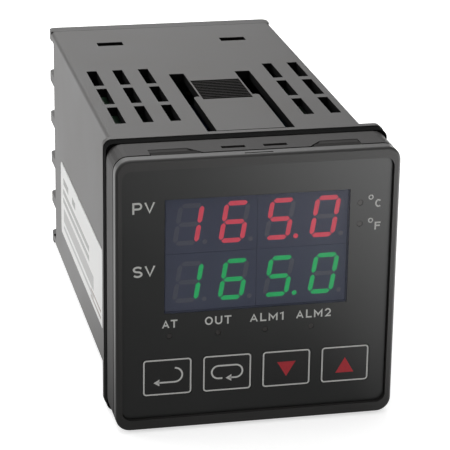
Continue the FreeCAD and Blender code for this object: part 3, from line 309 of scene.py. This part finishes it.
def foam_rubber():
    """Foam with cells cut open: each is a small near-black dent with a slightly paler rim."""
    made, tree = new_material("gasket_neoprene_foam")
    place = add(tree, "TexCoord").outputs["Object"]
    pores = add(tree, "TexVoronoi", {"Vector": place, "Scale": 1 / (PORE_SIZE * MM)})
    shade = add(tree, "ValToRGB", {"Fac": pores.outputs["Distance"]})
    shade.color_ramp.elements[0].color = linear("050505")
    shade.color_ramp.elements[1].color = linear("0d0d0d")
    bump = add(tree, "Bump", {
        "Height": pores.outputs["Distance"], "Strength": 0.6, "Distance": PORE_DEPTH * MM})
    surface(tree, add(tree, "BsdfPrincipled", {
        "Base Color": shade.outputs["Color"], "Roughness": 0.95, "IOR": 1.15,
        "Normal": bump.outputs["Normal"]}))
    return made


GASKET_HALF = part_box("gasket")[1].x / MM
GASKET_FRONT, GASKET_REAR = SLEEVE_REAR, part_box("gasket")[1].y / MM
GASKET_CORNER = 1.4
# The hole clears the spigot by this much on every side.
GASKET_FIT = 0.2
HOLE_X, HOLE_Z = SPIGOT_X + GASKET_FIT, SPIGOT_Z + GASKET_FIT


def gasket_frame():
    """The frame as squeezed between sleeve and flange, with its hole round the spigot."""
    outer = rounded_outline(GASKET_HALF, GASKET_HALF, GASKET_CORNER)
    hole = sharp_outline(-HOLE_X, HOLE_X, -HOLE_Z, HOLE_Z)
    return carved(block(outer, outer, GASKET_FRONT, GASKET_REAR), [],
                  [block(hole, hole, GASKET_FRONT - BEYOND, GASKET_REAR + BEYOND)])


gasket = finish_piece("gasket_squeezed", gasket_frame(), foam_rubber(), "controller")
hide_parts("gasket")

# ---------------------------------------------------------------------------
# Face plate: a moulded plate under a black polyester film, satin from the light emboss of the film.
# It lies on the ledge of the front frame, and its openings take the window, the keys and the lamps.
# ---------------------------------------------------------------------------
FILM_PATCH = 22.0
face_film = moulded_plastic("face_polyester_film_satin", "232423", "282928", 0.3, 0.25, 0.003,
                            patch_mm=FILM_PATCH)
dress(face_film, "front_panel")
face_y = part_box("front_panel")[0].y

# ---------------------------------------------------------------------------
# Lettering on the face film: screen-printed ink in pale grey, a plain sans serif, about 15 microns
# thick. It names the two rows of the display, the four lamps below it and the two temperature units.
# ---------------------------------------------------------------------------
INK_LIFT = 0.015 * MM


def uneven(tree, shade, patch_mm, spread, detail):
    """A colour that is lighter and darker by the spread, in patches of the given size."""
    place = add(tree, "TexCoord").outputs["Object"]
    cloud = add(tree, "TexNoise", {"Vector": place, "Scale": 1 / (patch_mm * MM), "Detail": detail})
    value = add(tree, "MapRange", {
        "Value": cloud.outputs["Fac"], "To Min": 1 - spread, "To Max": 1 + spread})
    tone = add(tree, "HueSaturation", {"Color": linear(shade), "Value": value.outputs["Result"]})
    return tone.outputs["Color"]


def printed_ink(name, shade):
    """Screen ink: one flat matt colour, very slightly uneven in cover."""
    made, tree = new_material(name)
    surface(tree, add(tree, "BsdfPrincipled", {
        "Base Color": uneven(tree, shade, patch_mm=0.8, spread=0.1, detail=2.0),
        "Roughness": 0.5, "IOR": 1.5}))
    return made


pale_ink = printed_ink("screen_ink_pale_grey", "f4f4f0")


def thick_print(mesh):
    """Gives a flat outline the thickness of the ink, from the face forwards."""
    form = bmesh.new()
    form.from_mesh(mesh)
    flat = form.faces[:]
    rims = [edge.verts[:] for edge in form.edges if edge.is_boundary]
    lift = Vector((0, -INK_LIFT, 0))
    raised = {corner: form.verts.new(corner.co + lift) for corner in form.verts[:]}
    for face in flat:
        form.faces.new([raised[corner] for corner in face.verts])
    for start, end in rims:
        form.faces.new((start, end, raised[end], raised[start]))
    bmesh.ops.recalc_face_normals(form, faces=form.faces)
    form.to_mesh(mesh)
    form.free()
    return mesh


def bend(centre_x, centre_z, radius_x, radius_z, start, end, points=16):
    """Points of an oval arc between two angles in degrees."""
    angles = [math.radians(start + (end - start) * k / points) for k in range(points + 1)]
    return [(centre_x + radius_x * math.cos(a), centre_z + radius_z * math.sin(a)) for a in angles]


# The least cosine that a mitre is worked out with, so that a sharp corner doesn't run out in a spike.
MITRE_LIMIT = 0.2


def stroke_band(form, path, stroke, low, high):
    """Adds a line of even width along a path, mitred at its corners and kept between two corners."""
    sides = []
    for place, point in enumerate(path):
        point = Vector(point)
        runs = []
        if place > 0:
            runs.append((point - Vector(path[place - 1])).normalized())
        if place < len(path) - 1:
            runs.append((Vector(path[place + 1]) - point).normalized())
        run = sum(runs, Vector((0, 0))).normalized()
        aside = Vector((-run.y, run.x)) * stroke / 2 / max(run.dot(runs[0]), MITRE_LIMIT)
        pair = []
        for corner in (point + aside, point - aside):
            x = min(max(corner.x, low[0]), high[0])
            z = min(max(corner.y, low[1]), high[1])
            pair.append(form.verts.new((x * MM, 0, z * MM)))
        sides.append(pair)
    for first, second in zip(sides, sides[1:]):
        form.faces.new((first[0], second[0], second[1], first[1]))


def letter_lines(letter, wide, high, half):
    """Centre lines of a plain capital or figure in its box, half being half the stroke."""
    left, right, top, foot = half, wide - half, high - half, half
    middle_x, middle_z = wide / 2, high / 2
    reach = wide / 2 - half
    waist = high * 0.44
    bowl = (top - waist) / 2
    crossbar = high * 0.3
    slope = reach / high
    inner = left + slope * crossbar + half * math.hypot(1, slope)
    arm = high * 0.52
    dip = high * 0.3
    flag = high * 0.76
    return {
        "A": [[(left, 0), (middle_x, high), (right, 0)], [(inner, crossbar), (wide - inner, crossbar)]],
        "C": [bend(middle_x, middle_z, reach, high / 2 - half, 48, 312)],
        "F": [[(left, 0), (left, top), (wide, top)], [(2 * half, arm), (wide * 0.88, arm)]],
        "L": [[(left, high), (left, foot), (wide, foot)]],
        "M": [[(left, 0), (left, high), (middle_x, dip), (right, high), (right, 0)]],
        "O": [bend(middle_x, middle_z, reach, high / 2 - half, 0, 360, 28)],
        "P": [[(left, 0), (left, high)],
              [(2 * half, top)] + bend(right - bowl, top - bowl, bowl, bowl, 90, -90) + [(2 * half, waist)]],
        "S": [bend(middle_x, (top + middle_z) / 2, reach, (top - middle_z) / 2, 25, 270)
              + bend(middle_x, (foot + middle_z) / 2, reach, (middle_z - foot) / 2, 90, -155)[1:]],
        "T": [[(0, top), (wide, top)], [(middle_x, high - 2 * half), (middle_x, 0)]],
        "U": [[(left, high)] + bend(middle_x, foot + reach, reach, reach, 180, 360) + [(right, high)]],
        "V": [[(left, high), (middle_x, 0), (right, high)]],
        "1": [[(0, flag), (right, high), (right, 0)]],
        "2": [bend(middle_x, top - reach, reach, reach, 165, -35) + [(left, foot), (wide, foot)]],
    }[letter]


# Widths of the letters beside that of a C.
LETTER_WIDTH = {"A": 1.08, "C": 1.0, "F": 0.86, "L": 0.82, "M": 1.18, "O": 1.12, "P": 0.95, "S": 0.95,
                "T": 0.98, "U": 1.02, "V": 1.06, "1": 0.5, "2": 0.88}


def printed_word(word, left, right, bottom, top, stroke, space):
    """A word in millimetres on the face, its letters in proportion to their usual widths."""
    share = (right - left - space * (len(word) - 1)) / sum(LETTER_WIDTH[letter] for letter in word)
    form = bmesh.new()
    start = left
    for letter in word:
        wide = LETTER_WIDTH[letter] * share
        for line in letter_lines(letter, wide, top - bottom, stroke / 2):
            path = [(start + x, bottom + z) for x, z in line]
            stroke_band(form, path, stroke, (start, bottom), (start + wide, top))
        start += wide + space
    return thick_print(mesh_from(form, "word"))


ROW_STROKE, LAMP_STROKE = 0.34, 0.27
# Each word's piece, letters, left, right, lower and upper edge from the middle of the face, stroke
# and space between letters, in millimetres.
WORDS = [
    ("print_pv", "PV", -21.07, -17.27, 14.5, 16.5, ROW_STROKE, 0.3),
    ("print_sv", "SV", -21.0, -17.2, 3.4, 5.4, ROW_STROKE, 0.3),
    ("print_celsius", "C", 20.0, 21.2, 13.3, 14.7, LAMP_STROKE, 0.3),
    ("print_fahrenheit", "F", 20.07, 21.1, 9.3, 10.7, LAMP_STROKE, 0.3),
    ("print_tuning", "AT", -16.07, -13.43, -5.95, -4.5, LAMP_STROKE, 0.2),
    ("print_output", "OUT", -8.77, -4.23, -5.9, -4.4, LAMP_STROKE, 0.36),
    ("print_alarm_1", "ALM1", -1.07, 4.77, -5.9, -4.4, LAMP_STROKE, 0.38),
    ("print_alarm_2", "ALM2", 6.93, 13.0, -5.85, -4.35, LAMP_STROKE, 0.38),
]
for name, word, left, right, bottom, top, stroke, space in WORDS:
    letters = printed_word(word, left, right, bottom, top, stroke, space)
    finish_piece(name, letters, pale_ink, "controller", at=(0, face_y, 0))


def ring_band(outer, inner):
    """The flat band between two closed outlines with as many points, given in millimetres."""
    form = bmesh.new()
    loops = [[form.verts.new((x * MM, 0, z * MM)) for x, z in outline] for outline in (outer, inner)]
    count = len(outer)
    for place in range(count):
        after = (place + 1) % count
        form.faces.new((loops[0][place], loops[0][after], loops[1][after], loops[1][place]))
    return thick_print(mesh_from(form, "band"))


def circle(radius, points=24):
    """Outline of a circle about the origin, in the unit of its radius."""
    turns = [2 * math.pi * k / points for k in range(points)]
    return [(radius * math.cos(turn), radius * math.sin(turn)) for turn in turns]


DEGREE_OUTER, DEGREE_INNER = 0.45, 0.25
DEGREE_SIGNS = [("print_degree_celsius", 19.27, 15.1), ("print_degree_fahrenheit", 19.33, 11.0)]
for name, x, z in DEGREE_SIGNS:
    ring = ring_band(circle(DEGREE_OUTER), circle(DEGREE_INNER))
    finish_piece(name, ring, pale_ink, "controller", at=(x * MM, face_y, z * MM))

# ---------------------------------------------------------------------------
# Keys: four caps of the same film and plate, level with the face and free in their openings. Each
# carries a printed border and a sign: a return hook, a loop, a red triangle down and one up.
# ---------------------------------------------------------------------------
key_film = moulded_plastic("key_polyester_film_satin", "1c1c1c", "212120", 0.34, 0.25, 0.003,
                           patch_mm=FILM_PATCH)
red_ink = printed_ink("screen_ink_red", "d23c46")
SIGN_STROKE, SIGN_REACH = 0.3, 4.0


def sign_line(path):
    """A line of a key sign, in millimetres from the middle of its key."""
    form = bmesh.new()
    stroke_band(form, path, SIGN_STROKE, (-SIGN_REACH, -SIGN_REACH), (SIGN_REACH, SIGN_REACH))
    return thick_print(mesh_from(form, "line"))


def filled(outline):
    """A filled flat outline in millimetres."""
    form = bmesh.new()
    form.faces.new([form.verts.new((x * MM, 0, z * MM)) for x, z in outline])
    return thick_print(mesh_from(form, "sign"))


ARROW_LENGTH, ARROW_HALF, TRIANGLE_HALF = 1.0, 0.62, 1.6


def arrow_head(tip_x, z):
    """A filled arrow head that points to the left."""
    return filled([(tip_x, z), (tip_x + ARROW_LENGTH, z + ARROW_HALF),
                   (tip_x + ARROW_LENGTH, z - ARROW_HALF)])


def triangle(base_z, tip_z):
    """A filled triangle on a level base."""
    return filled([(-TRIANGLE_HALF, base_z), (TRIANGLE_HALF, base_z), (0, tip_z)])


# The return hook: from behind its arrow head to the right on its base, and round to the left.
HOOK_BASE, HOOK_TURN, HOOK_START, HOOK_TIP = -0.98, 1.28, -1.5, -2.35
HOOK_Z = HOOK_BASE + HOOK_TURN
HOOK_LINE = [(HOOK_START, HOOK_BASE)] + bend(HOOK_TURN, HOOK_Z, HOOK_TURN, HOOK_TURN, -90, 90)
# The loop: round both ends, open in its base where the arrow head is.
LOOP_BASE, LOOP_TURN, LOOP_HALF, LOOP_START, LOOP_END, LOOP_TIP = -0.97, 1.15, 1.5, 0.5, -0.8, -0.25
LOOP_Z = LOOP_BASE + LOOP_TURN
LOOP_LINE = ([(LOOP_START, LOOP_BASE)] + bend(LOOP_HALF, LOOP_Z, LOOP_TURN, LOOP_TURN, -90, 90)
             + bend(-LOOP_HALF, LOOP_Z, LOOP_TURN, LOOP_TURN, 90, 270) + [(LOOP_END, LOOP_BASE)])
SIGNS = {
    "return": [("hook", sign_line(HOOK_LINE), pale_ink),
               ("arrow", arrow_head(HOOK_TIP, HOOK_BASE), pale_ink)],
    "cycle": [("loop", sign_line(LOOP_LINE), pale_ink),
              ("arrow", arrow_head(LOOP_TIP, LOOP_BASE), pale_ink)],
    "down": [("triangle", triangle(1.2, -1.5), red_ink)],
    "up": [("triangle", triangle(-1.6, 1.2), red_ink)],
}
BORDER_MARGIN, BORDER_STROKE = 0.5, 0.26
BORDER_CORNER, BORDER_INNER_CORNER, BORDER_STEPS = 0.6, 0.35, 6
for key, signs in SIGNS.items():
    dress(key_film, "key_" + key)
    low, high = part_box("key_" + key)
    at = ((low.x + high.x) / 2, low.y, (low.z + high.z) / 2)
    half_x = (high.x - low.x) / 2 / MM - BORDER_MARGIN
    half_z = (high.z - low.z) / 2 / MM - BORDER_MARGIN
    outer = rounded_outline(half_x, half_z, BORDER_CORNER, BORDER_STEPS)
    inner = rounded_outline(half_x - BORDER_STROKE, half_z - BORDER_STROKE, BORDER_INNER_CORNER,
                            BORDER_STEPS)
    finish_piece(f"print_{key}_border", ring_band(outer, inner), pale_ink, key + "_key", at=at)
    for sign, mesh, ink in signs:
        finish_piece(f"print_{key}_{sign}", mesh, ink, key + "_key", at=at)

# ---------------------------------------------------------------------------
# Window and display: a smoked acrylic window over four two-digit modules. The module faces are painted
# grey, and each bar is clear epoxy over a small light, red in the upper row and green in the lower.
# ---------------------------------------------------------------------------
HAZE_PATCH = 9.0


def smoked_acrylic():
    """Clear sheet with a smoke dye, faintly hazed, so its gloss varies a little."""
    made, tree = new_material("window_smoked_acrylic")
    place = add(tree, "TexCoord").outputs["Object"]
    haze = add(tree, "TexNoise", {"Vector": place, "Scale": 1 / (HAZE_PATCH * MM), "Detail": 2.0})
    rough = add(tree, "MapRange", {"Value": haze.outputs["Fac"], "To Min": 0.12, "To Max": 0.2})
    surface(tree, add(tree, "BsdfPrincipled", {
        "Base Color": linear("666b82"), "Alpha": 0.35, "Roughness": rough.outputs["Result"], "IOR": 1.49}))
    return made


def lit_epoxy(name, shade, glow):
    """A clear bar filled with the light of the chip behind it, a little uneven along its length."""
    made, tree = new_material(name)
    tone = uneven(tree, shade, patch_mm=1.6, spread=0.15, detail=1.0)
    surface(tree, add(tree, "BsdfPrincipled", {
        "Base Color": tone, "Roughness": 0.35, "IOR": 1.54,
        "Emission Color": tone, "Emission Strength": glow}))
    return made


dress(smoked_acrylic(), "display_window")
# Sprayed matt paint, a cool grey that the smoked window turns almost black.
dress(moulded_plastic("module_painted_grey", "858ca2", "8a91a8", 0.6, 0.6, 0.002, patch_mm=30.0),
      "pv_module_left", "pv_module_right", "sv_module_left", "sv_module_right")
dress(lit_epoxy("bar_epoxy_lit_red", "ee4a58", 1.0), "pv_segments_lit")
dress(lit_epoxy("bar_epoxy_lit_green", "04b85c", 1.15), "sv_segments_lit")
# The same epoxy over a chip that is off, a little paler than the paint round it.
dress(moulded_plastic("bar_epoxy_unlit", "b0b1b6", "b6b7bd", 0.4, 0.6, 0.002),
      "pv_segments_dark", "sv_segments_dark")

# ---------------------------------------------------------------------------
# Indicator lamps: six light pipes moulded in diffusing acrylic and pressed into the face plate, four
# in the row below the display and two for the temperature units. All are unlit and so dark grey.
# ---------------------------------------------------------------------------
lamp_acrylic = moulded_plastic("lamp_diffusing_acrylic", "33302e", "393634", 0.34, 0.3, 0.003,
                               patch_mm=3.0)
dress(lamp_acrylic, *[name for name in nodes if name.startswith("led_")])

# ---------------------------------------------------------------------------
# Switches: four tact switches on the board behind the keys. Their cases are glass-filled nylon, matt
# and nearly black, and their plungers are acetal, a mid grey with a softer gloss.
# ---------------------------------------------------------------------------
dress(moulded_plastic("switch_case_nylon", "1b1b1c", "232324", 0.55, 0.3, 0.01),
      *["switch_" + key for key in SIGNS])
dress(moulded_plastic("plunger_acetal", "5c5c5a", "666664", 0.4, 0.3, 0.004),
      *["plunger_" + key for key in SIGNS])

# ---------------------------------------------------------------------------
# Circuit boards: woven glass epoxy 1.6 mm thick under green solder mask, with faint copper tracks
# that show as lighter lines through the mask. The greens are darker than the mask's own, painted shade
# for boards that lie unlit inside the case. Sockets and chips are black plastic mouldings.
# ---------------------------------------------------------------------------
TRACK_SPACING, WEAVE_SPACING, WEAVE_HEIGHT = 3.0, 0.8, 0.01


def masked_board():
    """Solder mask over tracks, with the weave of the glass cloth just showing in its gloss."""
    made, tree = new_material("board_glass_epoxy_green_mask")
    place = add(tree, "TexCoord").outputs["Object"]
    # The mask's greens are darkened past their own colour: painted shade for the boards inside the case.
    tracks = add(tree, "TexBrick", {
        "Vector": place, "Scale": 1 / (TRACK_SPACING * MM), "Color1": linear("0c2415"),
        "Color2": linear("0a1f12"), "Mortar": linear("1c3f26"), "Mortar Size": 0.08, "Mortar Smooth": 0.1})
    weave = add(tree, "TexWave", {
        "Vector": place, "Scale": 1 / (WEAVE_SPACING * MM), "Distortion": 0.4})
    bump = add(tree, "Bump", {
        "Height": weave.outputs["Fac"], "Strength": 0.3, "Distance": WEAVE_HEIGHT * MM})
    surface(tree, add(tree, "BsdfPrincipled", {
        "Base Color": tracks.outputs["Color"], "Roughness": 0.4, "IOR": 1.5,
        "Normal": bump.outputs["Normal"]}))
    return made


dress(masked_board(), "display_board", "control_board", "power_board", "rear_board")
dress(moulded_plastic("socket_nylon_black", "141414", "1c1c1c", 0.5, 0.3, 0.01),
      "front_socket_left", "front_socket_right", "rear_socket_left", "rear_socket_right")
dress(moulded_plastic("chip_epoxy_moulding_compound", "131314", "1b1b1c", 0.6, 0.25, 0.01),
      "processor_chip", "memory_chip", "optocoupler")

# ---------------------------------------------------------------------------
# Power parts: a transformer with a laminated core and a winding in yellow tape, two relays in blue
# moulded cases with a fair gloss and two electrolytic capacitors in shrunk black sleeves.
# ---------------------------------------------------------------------------
# The sheets are 0.5 mm thick. They are drawn as wider bands, which is as fine as the render shows.
SHEET_BAND, SHEET_STEP = 2.5, 0.05


def laminated_steel():
    """The edges of a stack of varnished steel sheets: dark and pale lines, with a metal's gloss."""
    made, tree = new_material("core_silicon_steel_laminations")
    place = add(tree, "TexCoord").outputs["Object"]
    sheets = add(tree, "TexWave", {"Vector": place, "Scale": 1 / (SHEET_BAND * MM), "Distortion": 0.2},
                 bands_direction="X")
    shade = add(tree, "ValToRGB", {"Fac": sheets.outputs["Fac"]})
    shade.color_ramp.elements[0].color = linear("3b3a38")
    shade.color_ramp.elements[1].color = linear("77746f")
    bump = add(tree, "Bump", {
        "Height": sheets.outputs["Fac"], "Strength": 0.6, "Distance": SHEET_STEP * MM})
    surface(tree, add(tree, "BsdfPrincipled", {
        "Base Color": shade.outputs["Color"], "Metallic": 0.8, "Roughness": 0.5,
        "Normal": bump.outputs["Normal"]}))
    return made


dress(laminated_steel(), "transformer_core")
dress(moulded_plastic("winding_polyester_tape", "a8801a", "b88d22", 0.35, 0.4, 0.01), "transformer_coil")
dress(moulded_plastic("relay_case_polyester_blue", "16305e", "1b3768", 0.35, 0.4, 0.006),
      "relay_output", "relay_alarm")
dress(moulded_plastic("capacitor_sleeve_pvc", "14141a", "1c1c22", 0.3, 0.5, 0.006),
      "capacitor_main", "capacitor_low")

# ---------------------------------------------------------------------------
# Terminal block: glass-filled polyester with barrier ribs, plated steel screws and clamp plates, and
# tinned brass contacts. The screw heads are pan heads with a slot.
# ---------------------------------------------------------------------------
LINE_LENGTH, LINE_SHAPE = 1.2, (1.0, 1.0, 12.0)


def plated_metal(name, low, high, rough):
    """Sheet or turned metal under a thin plating, with fine drawing lines that vary its gloss."""
    made, tree = new_material(name)
    place = add(tree, "TexCoord").outputs["Object"]
    along = add(tree, "Mapping", {"Vector": place, "Scale": LINE_SHAPE})
    lines = add(tree, "TexNoise", {
        "Vector": along.outputs["Vector"], "Scale": 1 / (LINE_LENGTH * MM), "Detail": 4.0})
    shade = add(tree, "ValToRGB", {"Fac": lines.outputs["Fac"]})
    shade.color_ramp.elements[0].color = linear(low)
    shade.color_ramp.elements[1].color = linear(high)
    gloss = add(tree, "MapRange", {
        "Value": lines.outputs["Fac"], "To Min": rough - 0.06, "To Max": rough + 0.08})
    surface(tree, add(tree, "BsdfPrincipled", {
        "Base Color": shade.outputs["Color"], "Metallic": 1.0, "Roughness": gloss.outputs["Result"]}))
    return made


dress(moulded_plastic("terminal_block_glass_filled_polyester", "272524", "302e2c", 0.52, 0.3, 0.015),
      "terminal_block")
dress(plated_metal("terminal_zinc_plated_steel", "73726f", "979591", 0.36),
      "terminal_screws", "terminal_plates")
dress(plated_metal("terminal_tinned_brass", "86794f", "ab9a66", 0.34), "terminal_contacts")

# ---------------------------------------------------------------------------
# Side label: a white polyester sticker on the left wall. Its text and codes are left off, and plain
# grey bands mark where the printed lines and the fields are.
# ---------------------------------------------------------------------------
label_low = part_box("side_label")[0]
# Each band's colour, its start and end from the label's front edge, and its lower and upper edge from
# the label's foot, in millimetres.
LABEL_BANDS = [
    ("7a7a78", 38.0, 42.0, 10.9, 12.3), ("7a7a78", 47.0, 53.5, 10.9, 12.3),
    ("858583", 21.0, 54.0, 8.8, 10.0), ("858583", 21.0, 54.0, 7.0, 8.1),
    ("9a9a98", 16.0, 53.5, 3.2, 6.0), ("a2a2a0", 16.0, 53.5, 1.6, 2.4),
    ("8d7a74", 7.7, 19.3, 2.3, 2.8), ("8d7a74", 7.7, 19.3, 1.0, 1.5),
]


def label_film():
    """White film with plain bands of ink, each mixed in inside its own rectangle."""
    made, tree = new_material("label_white_polyester_printed")
    front, foot = label_low.y / MM, label_low.z / MM
    place = add(tree, "SeparateXYZ", {"Vector": add(tree, "TexCoord").outputs["Object"]})
    colour = linear("e8e8e6")
    for shade, start, end, bottom, top in LABEL_BANDS:
        band = (("Y", front + start, front + end), ("Z", foot + bottom, foot + top))
        mix = add(tree, "MixRGB", {
            "Fac": within(tree, place, band), "Color1": colour, "Color2": linear(shade)})
        colour = mix.outputs["Color"]
    surface(tree, add(tree, "BsdfPrincipled", {"Base Color": colour, "Roughness": 0.4, "IOR": 1.5}))
    return made


dress(label_film(), "side_label")

# ---------------------------------------------------------------------------
# Studio: the controller stands on the lower edges of its flange and its rear, which are not level, so
# the floor is laid through both. Broad soft light comes from above, behind and the left.
# ---------------------------------------------------------------------------
flange_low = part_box("rear_case")[0]
rear_low, rear_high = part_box("terminal_block")
slope = math.atan2(rear_low.z - flange_low.z, rear_high.y)
FLOOR_HALF = 3.0
corners = [(-FLOOR_HALF, -FLOOR_HALF, 0), (FLOOR_HALF, -FLOOR_HALF, 0),
           (FLOOR_HALF, FLOOR_HALF, 0), (-FLOOR_HALF, FLOOR_HALF, 0)]
floor_mesh = bpy.data.meshes.new("floor")
floor_mesh.from_pydata(corners, [], [(0, 1, 2, 3)])
floor_mesh.transform(Matrix.Translation((0, 0, flange_low.z)) @ Matrix.Rotation(slope, 4, "X"))
floor = bpy.data.objects.new("floor", floor_mesh)
bpy.context.scene.collection.objects.link(floor)
FIBRE_PATCH, FLOOR_GLOW = 20.0, 0.6
# Painted reflection: the floor glows to glossy rays alone, graded so that glossy faces mirror it dim in
# front of the controller, brighter behind it and far brighter to its right. Each row gives an axis, two
# places along it in millimetres and the level at each, and the rows add up.
PAINTED_REFLECTION_GRADES = [("Y", -10, 50, 0.0, 1.45), ("X", 20, 100, 0.0, 4.6), ("Y", -110, -20, 0.4, 0.3)]


def floor_board():
    """White board: bright to the camera, mid grey to soft light, and a graded glow to glossy rays alone that
    is a painted reflection.
    """
    made, tree = new_material("floor_white_board")
    place = add(tree, "TexCoord").outputs["Object"]
    fibres = add(tree, "TexNoise", {"Vector": place, "Scale": 1 / (FIBRE_PATCH * MM), "Detail": 3.0})
    shade = add(tree, "ValToRGB", {"Fac": fibres.outputs["Fac"]})
    shade.color_ramp.elements[0].color = linear("eeeeee")
    shade.color_ramp.elements[1].color = linear("f4f4f4")
    board = add(tree, "BsdfPrincipled", {"Base Color": shade.outputs["Color"], "Roughness": 0.9})
    glow = add(tree, "Emission", {"Color": linear("ffffff"), "Strength": FLOOR_GLOW})
    both = add(tree, "AddShader", {0: board.outputs[0], 1: glow.outputs[0]})
    path = add(tree, "LightPath")
    axes = add(tree, "SeparateXYZ", {"Vector": place})
    level = 0.0
    for axis, start, end, low, high in PAINTED_REFLECTION_GRADES:
        grade = add(tree, "MapRange", {
            "Value": axes.outputs[axis], "From Min": start * MM, "From Max": end * MM,
            "To Min": low, "To Max": high})
        level = add(tree, "Math", {0: level, 1: grade.outputs["Result"]}).outputs[0]
    # Painted reflection: an uneven glow that only glossy rays see.
    painted_reflection = add(tree, "Emission", {"Color": linear("ffffff"), "Strength": level})
    dim = add(tree, "BsdfDiffuse", {"Color": linear("7a7a7a")})
    unseen = add(tree, "MixShader", {
        "Fac": path.outputs["Is Glossy Ray"], 1: dim.outputs[0], 2: painted_reflection.outputs[0]})
    surface(tree, add(tree, "MixShader", {
        "Fac": path.outputs["Is Camera Ray"], 1: unseen.outputs[0], 2: both.outputs[0]}))
    return made


floor_mesh.materials.append(floor_board())

# The room gives the controller an even half light, and shows white to the camera and through glass.
ROOM_LEVEL, BACKDROP_LEVEL = 0.5, 1.0
world = bpy.data.worlds.new("studio")
bpy.context.scene.world = world
world.use_nodes = True
sky = world.node_tree
sky.nodes.clear()
path = add(sky, "LightPath")
fill = add(sky, "Background", {"Color": linear("ffffff"), "Strength": ROOM_LEVEL})
white = add(sky, "Background", {"Color": linear("ffffff"), "Strength": BACKDROP_LEVEL})
seen = add(sky, "Math", {0: path.outputs["Is Camera Ray"], 1: path.outputs["Is Transmission Ray"]},
           operation="MAXIMUM")
choose = add(sky, "MixShader", {"Fac": seen.outputs[0], 1: fill.outputs[0], 2: white.outputs[0]})
add(sky, "OutputWorld", {"Surface": choose.outputs[0]})

centre = (cad_box[0] + cad_box[1]) / 2
# Each soft box's name, place from the middle of the controller and side in metres, and watts.
SOFT_BOXES = [
    ("soft_box_behind", (-0.1, 0.9, 0.7), 0.9, 5.0),
    ("soft_box_left", (-0.9, 0.6, 0.3), 0.7, 3.0),
    ("soft_box_above", (-0.1, 0.1, 0.9), 0.6, 2.0),
]
for name, place, side, watts in SOFT_BOXES:
    lamp = bpy.data.lights.new(name, "AREA")
    lamp.shape = "SQUARE"
    lamp.size = side
    lamp.energy = watts
    carrier = bpy.data.objects.new(name, lamp)
    bpy.context.scene.collection.objects.link(carrier)
    carrier.location = centre + Vector(place)
    carrier.rotation_mode = "QUATERNION"
    carrier.rotation_quaternion = (centre - carrier.location).to_track_quat("-Z", "Y")

# ---------------------------------------------------------------------------
# Camera: a long lens at the front left, 20 degrees above the horizon and turned 13 degrees, with the
# small lean of a hand-held shot.
# ---------------------------------------------------------------------------
CAMERA_PLACE = Vector((-77.25, -332.86, 132.55)) * MM
CAMERA_TURN, CAMERA_DROP, CAMERA_LEAN = 12.584, 20.164, 0.882
SENSOR_WIDTH, FOCAL_LENGTH, NEAREST = 36.0, 170.25, 10.0
lens = bpy.data.cameras.new("camera")
lens.sensor_width = SENSOR_WIDTH
lens.lens = FOCAL_LENGTH
lens.clip_start = NEAREST * MM
camera = bpy.data.objects.new("camera", lens)
bpy.context.scene.collection.objects.link(camera)
turn, drop = math.radians(CAMERA_TURN), math.radians(CAMERA_DROP)
ahead = Vector((math.sin(turn) * math.cos(drop), math.cos(turn) * math.cos(drop), -math.sin(drop)))
camera.location = CAMERA_PLACE
camera.rotation_mode = "QUATERNION"
camera.rotation_quaternion = (ahead.to_track_quat("-Z", "Y").to_matrix()
                              @ Matrix.Rotation(math.radians(CAMERA_LEAN), 3, "Z")).to_quaternion()
bpy.context.scene.camera = camera
bpy.context.scene.view_settings.view_transform = "Standard"
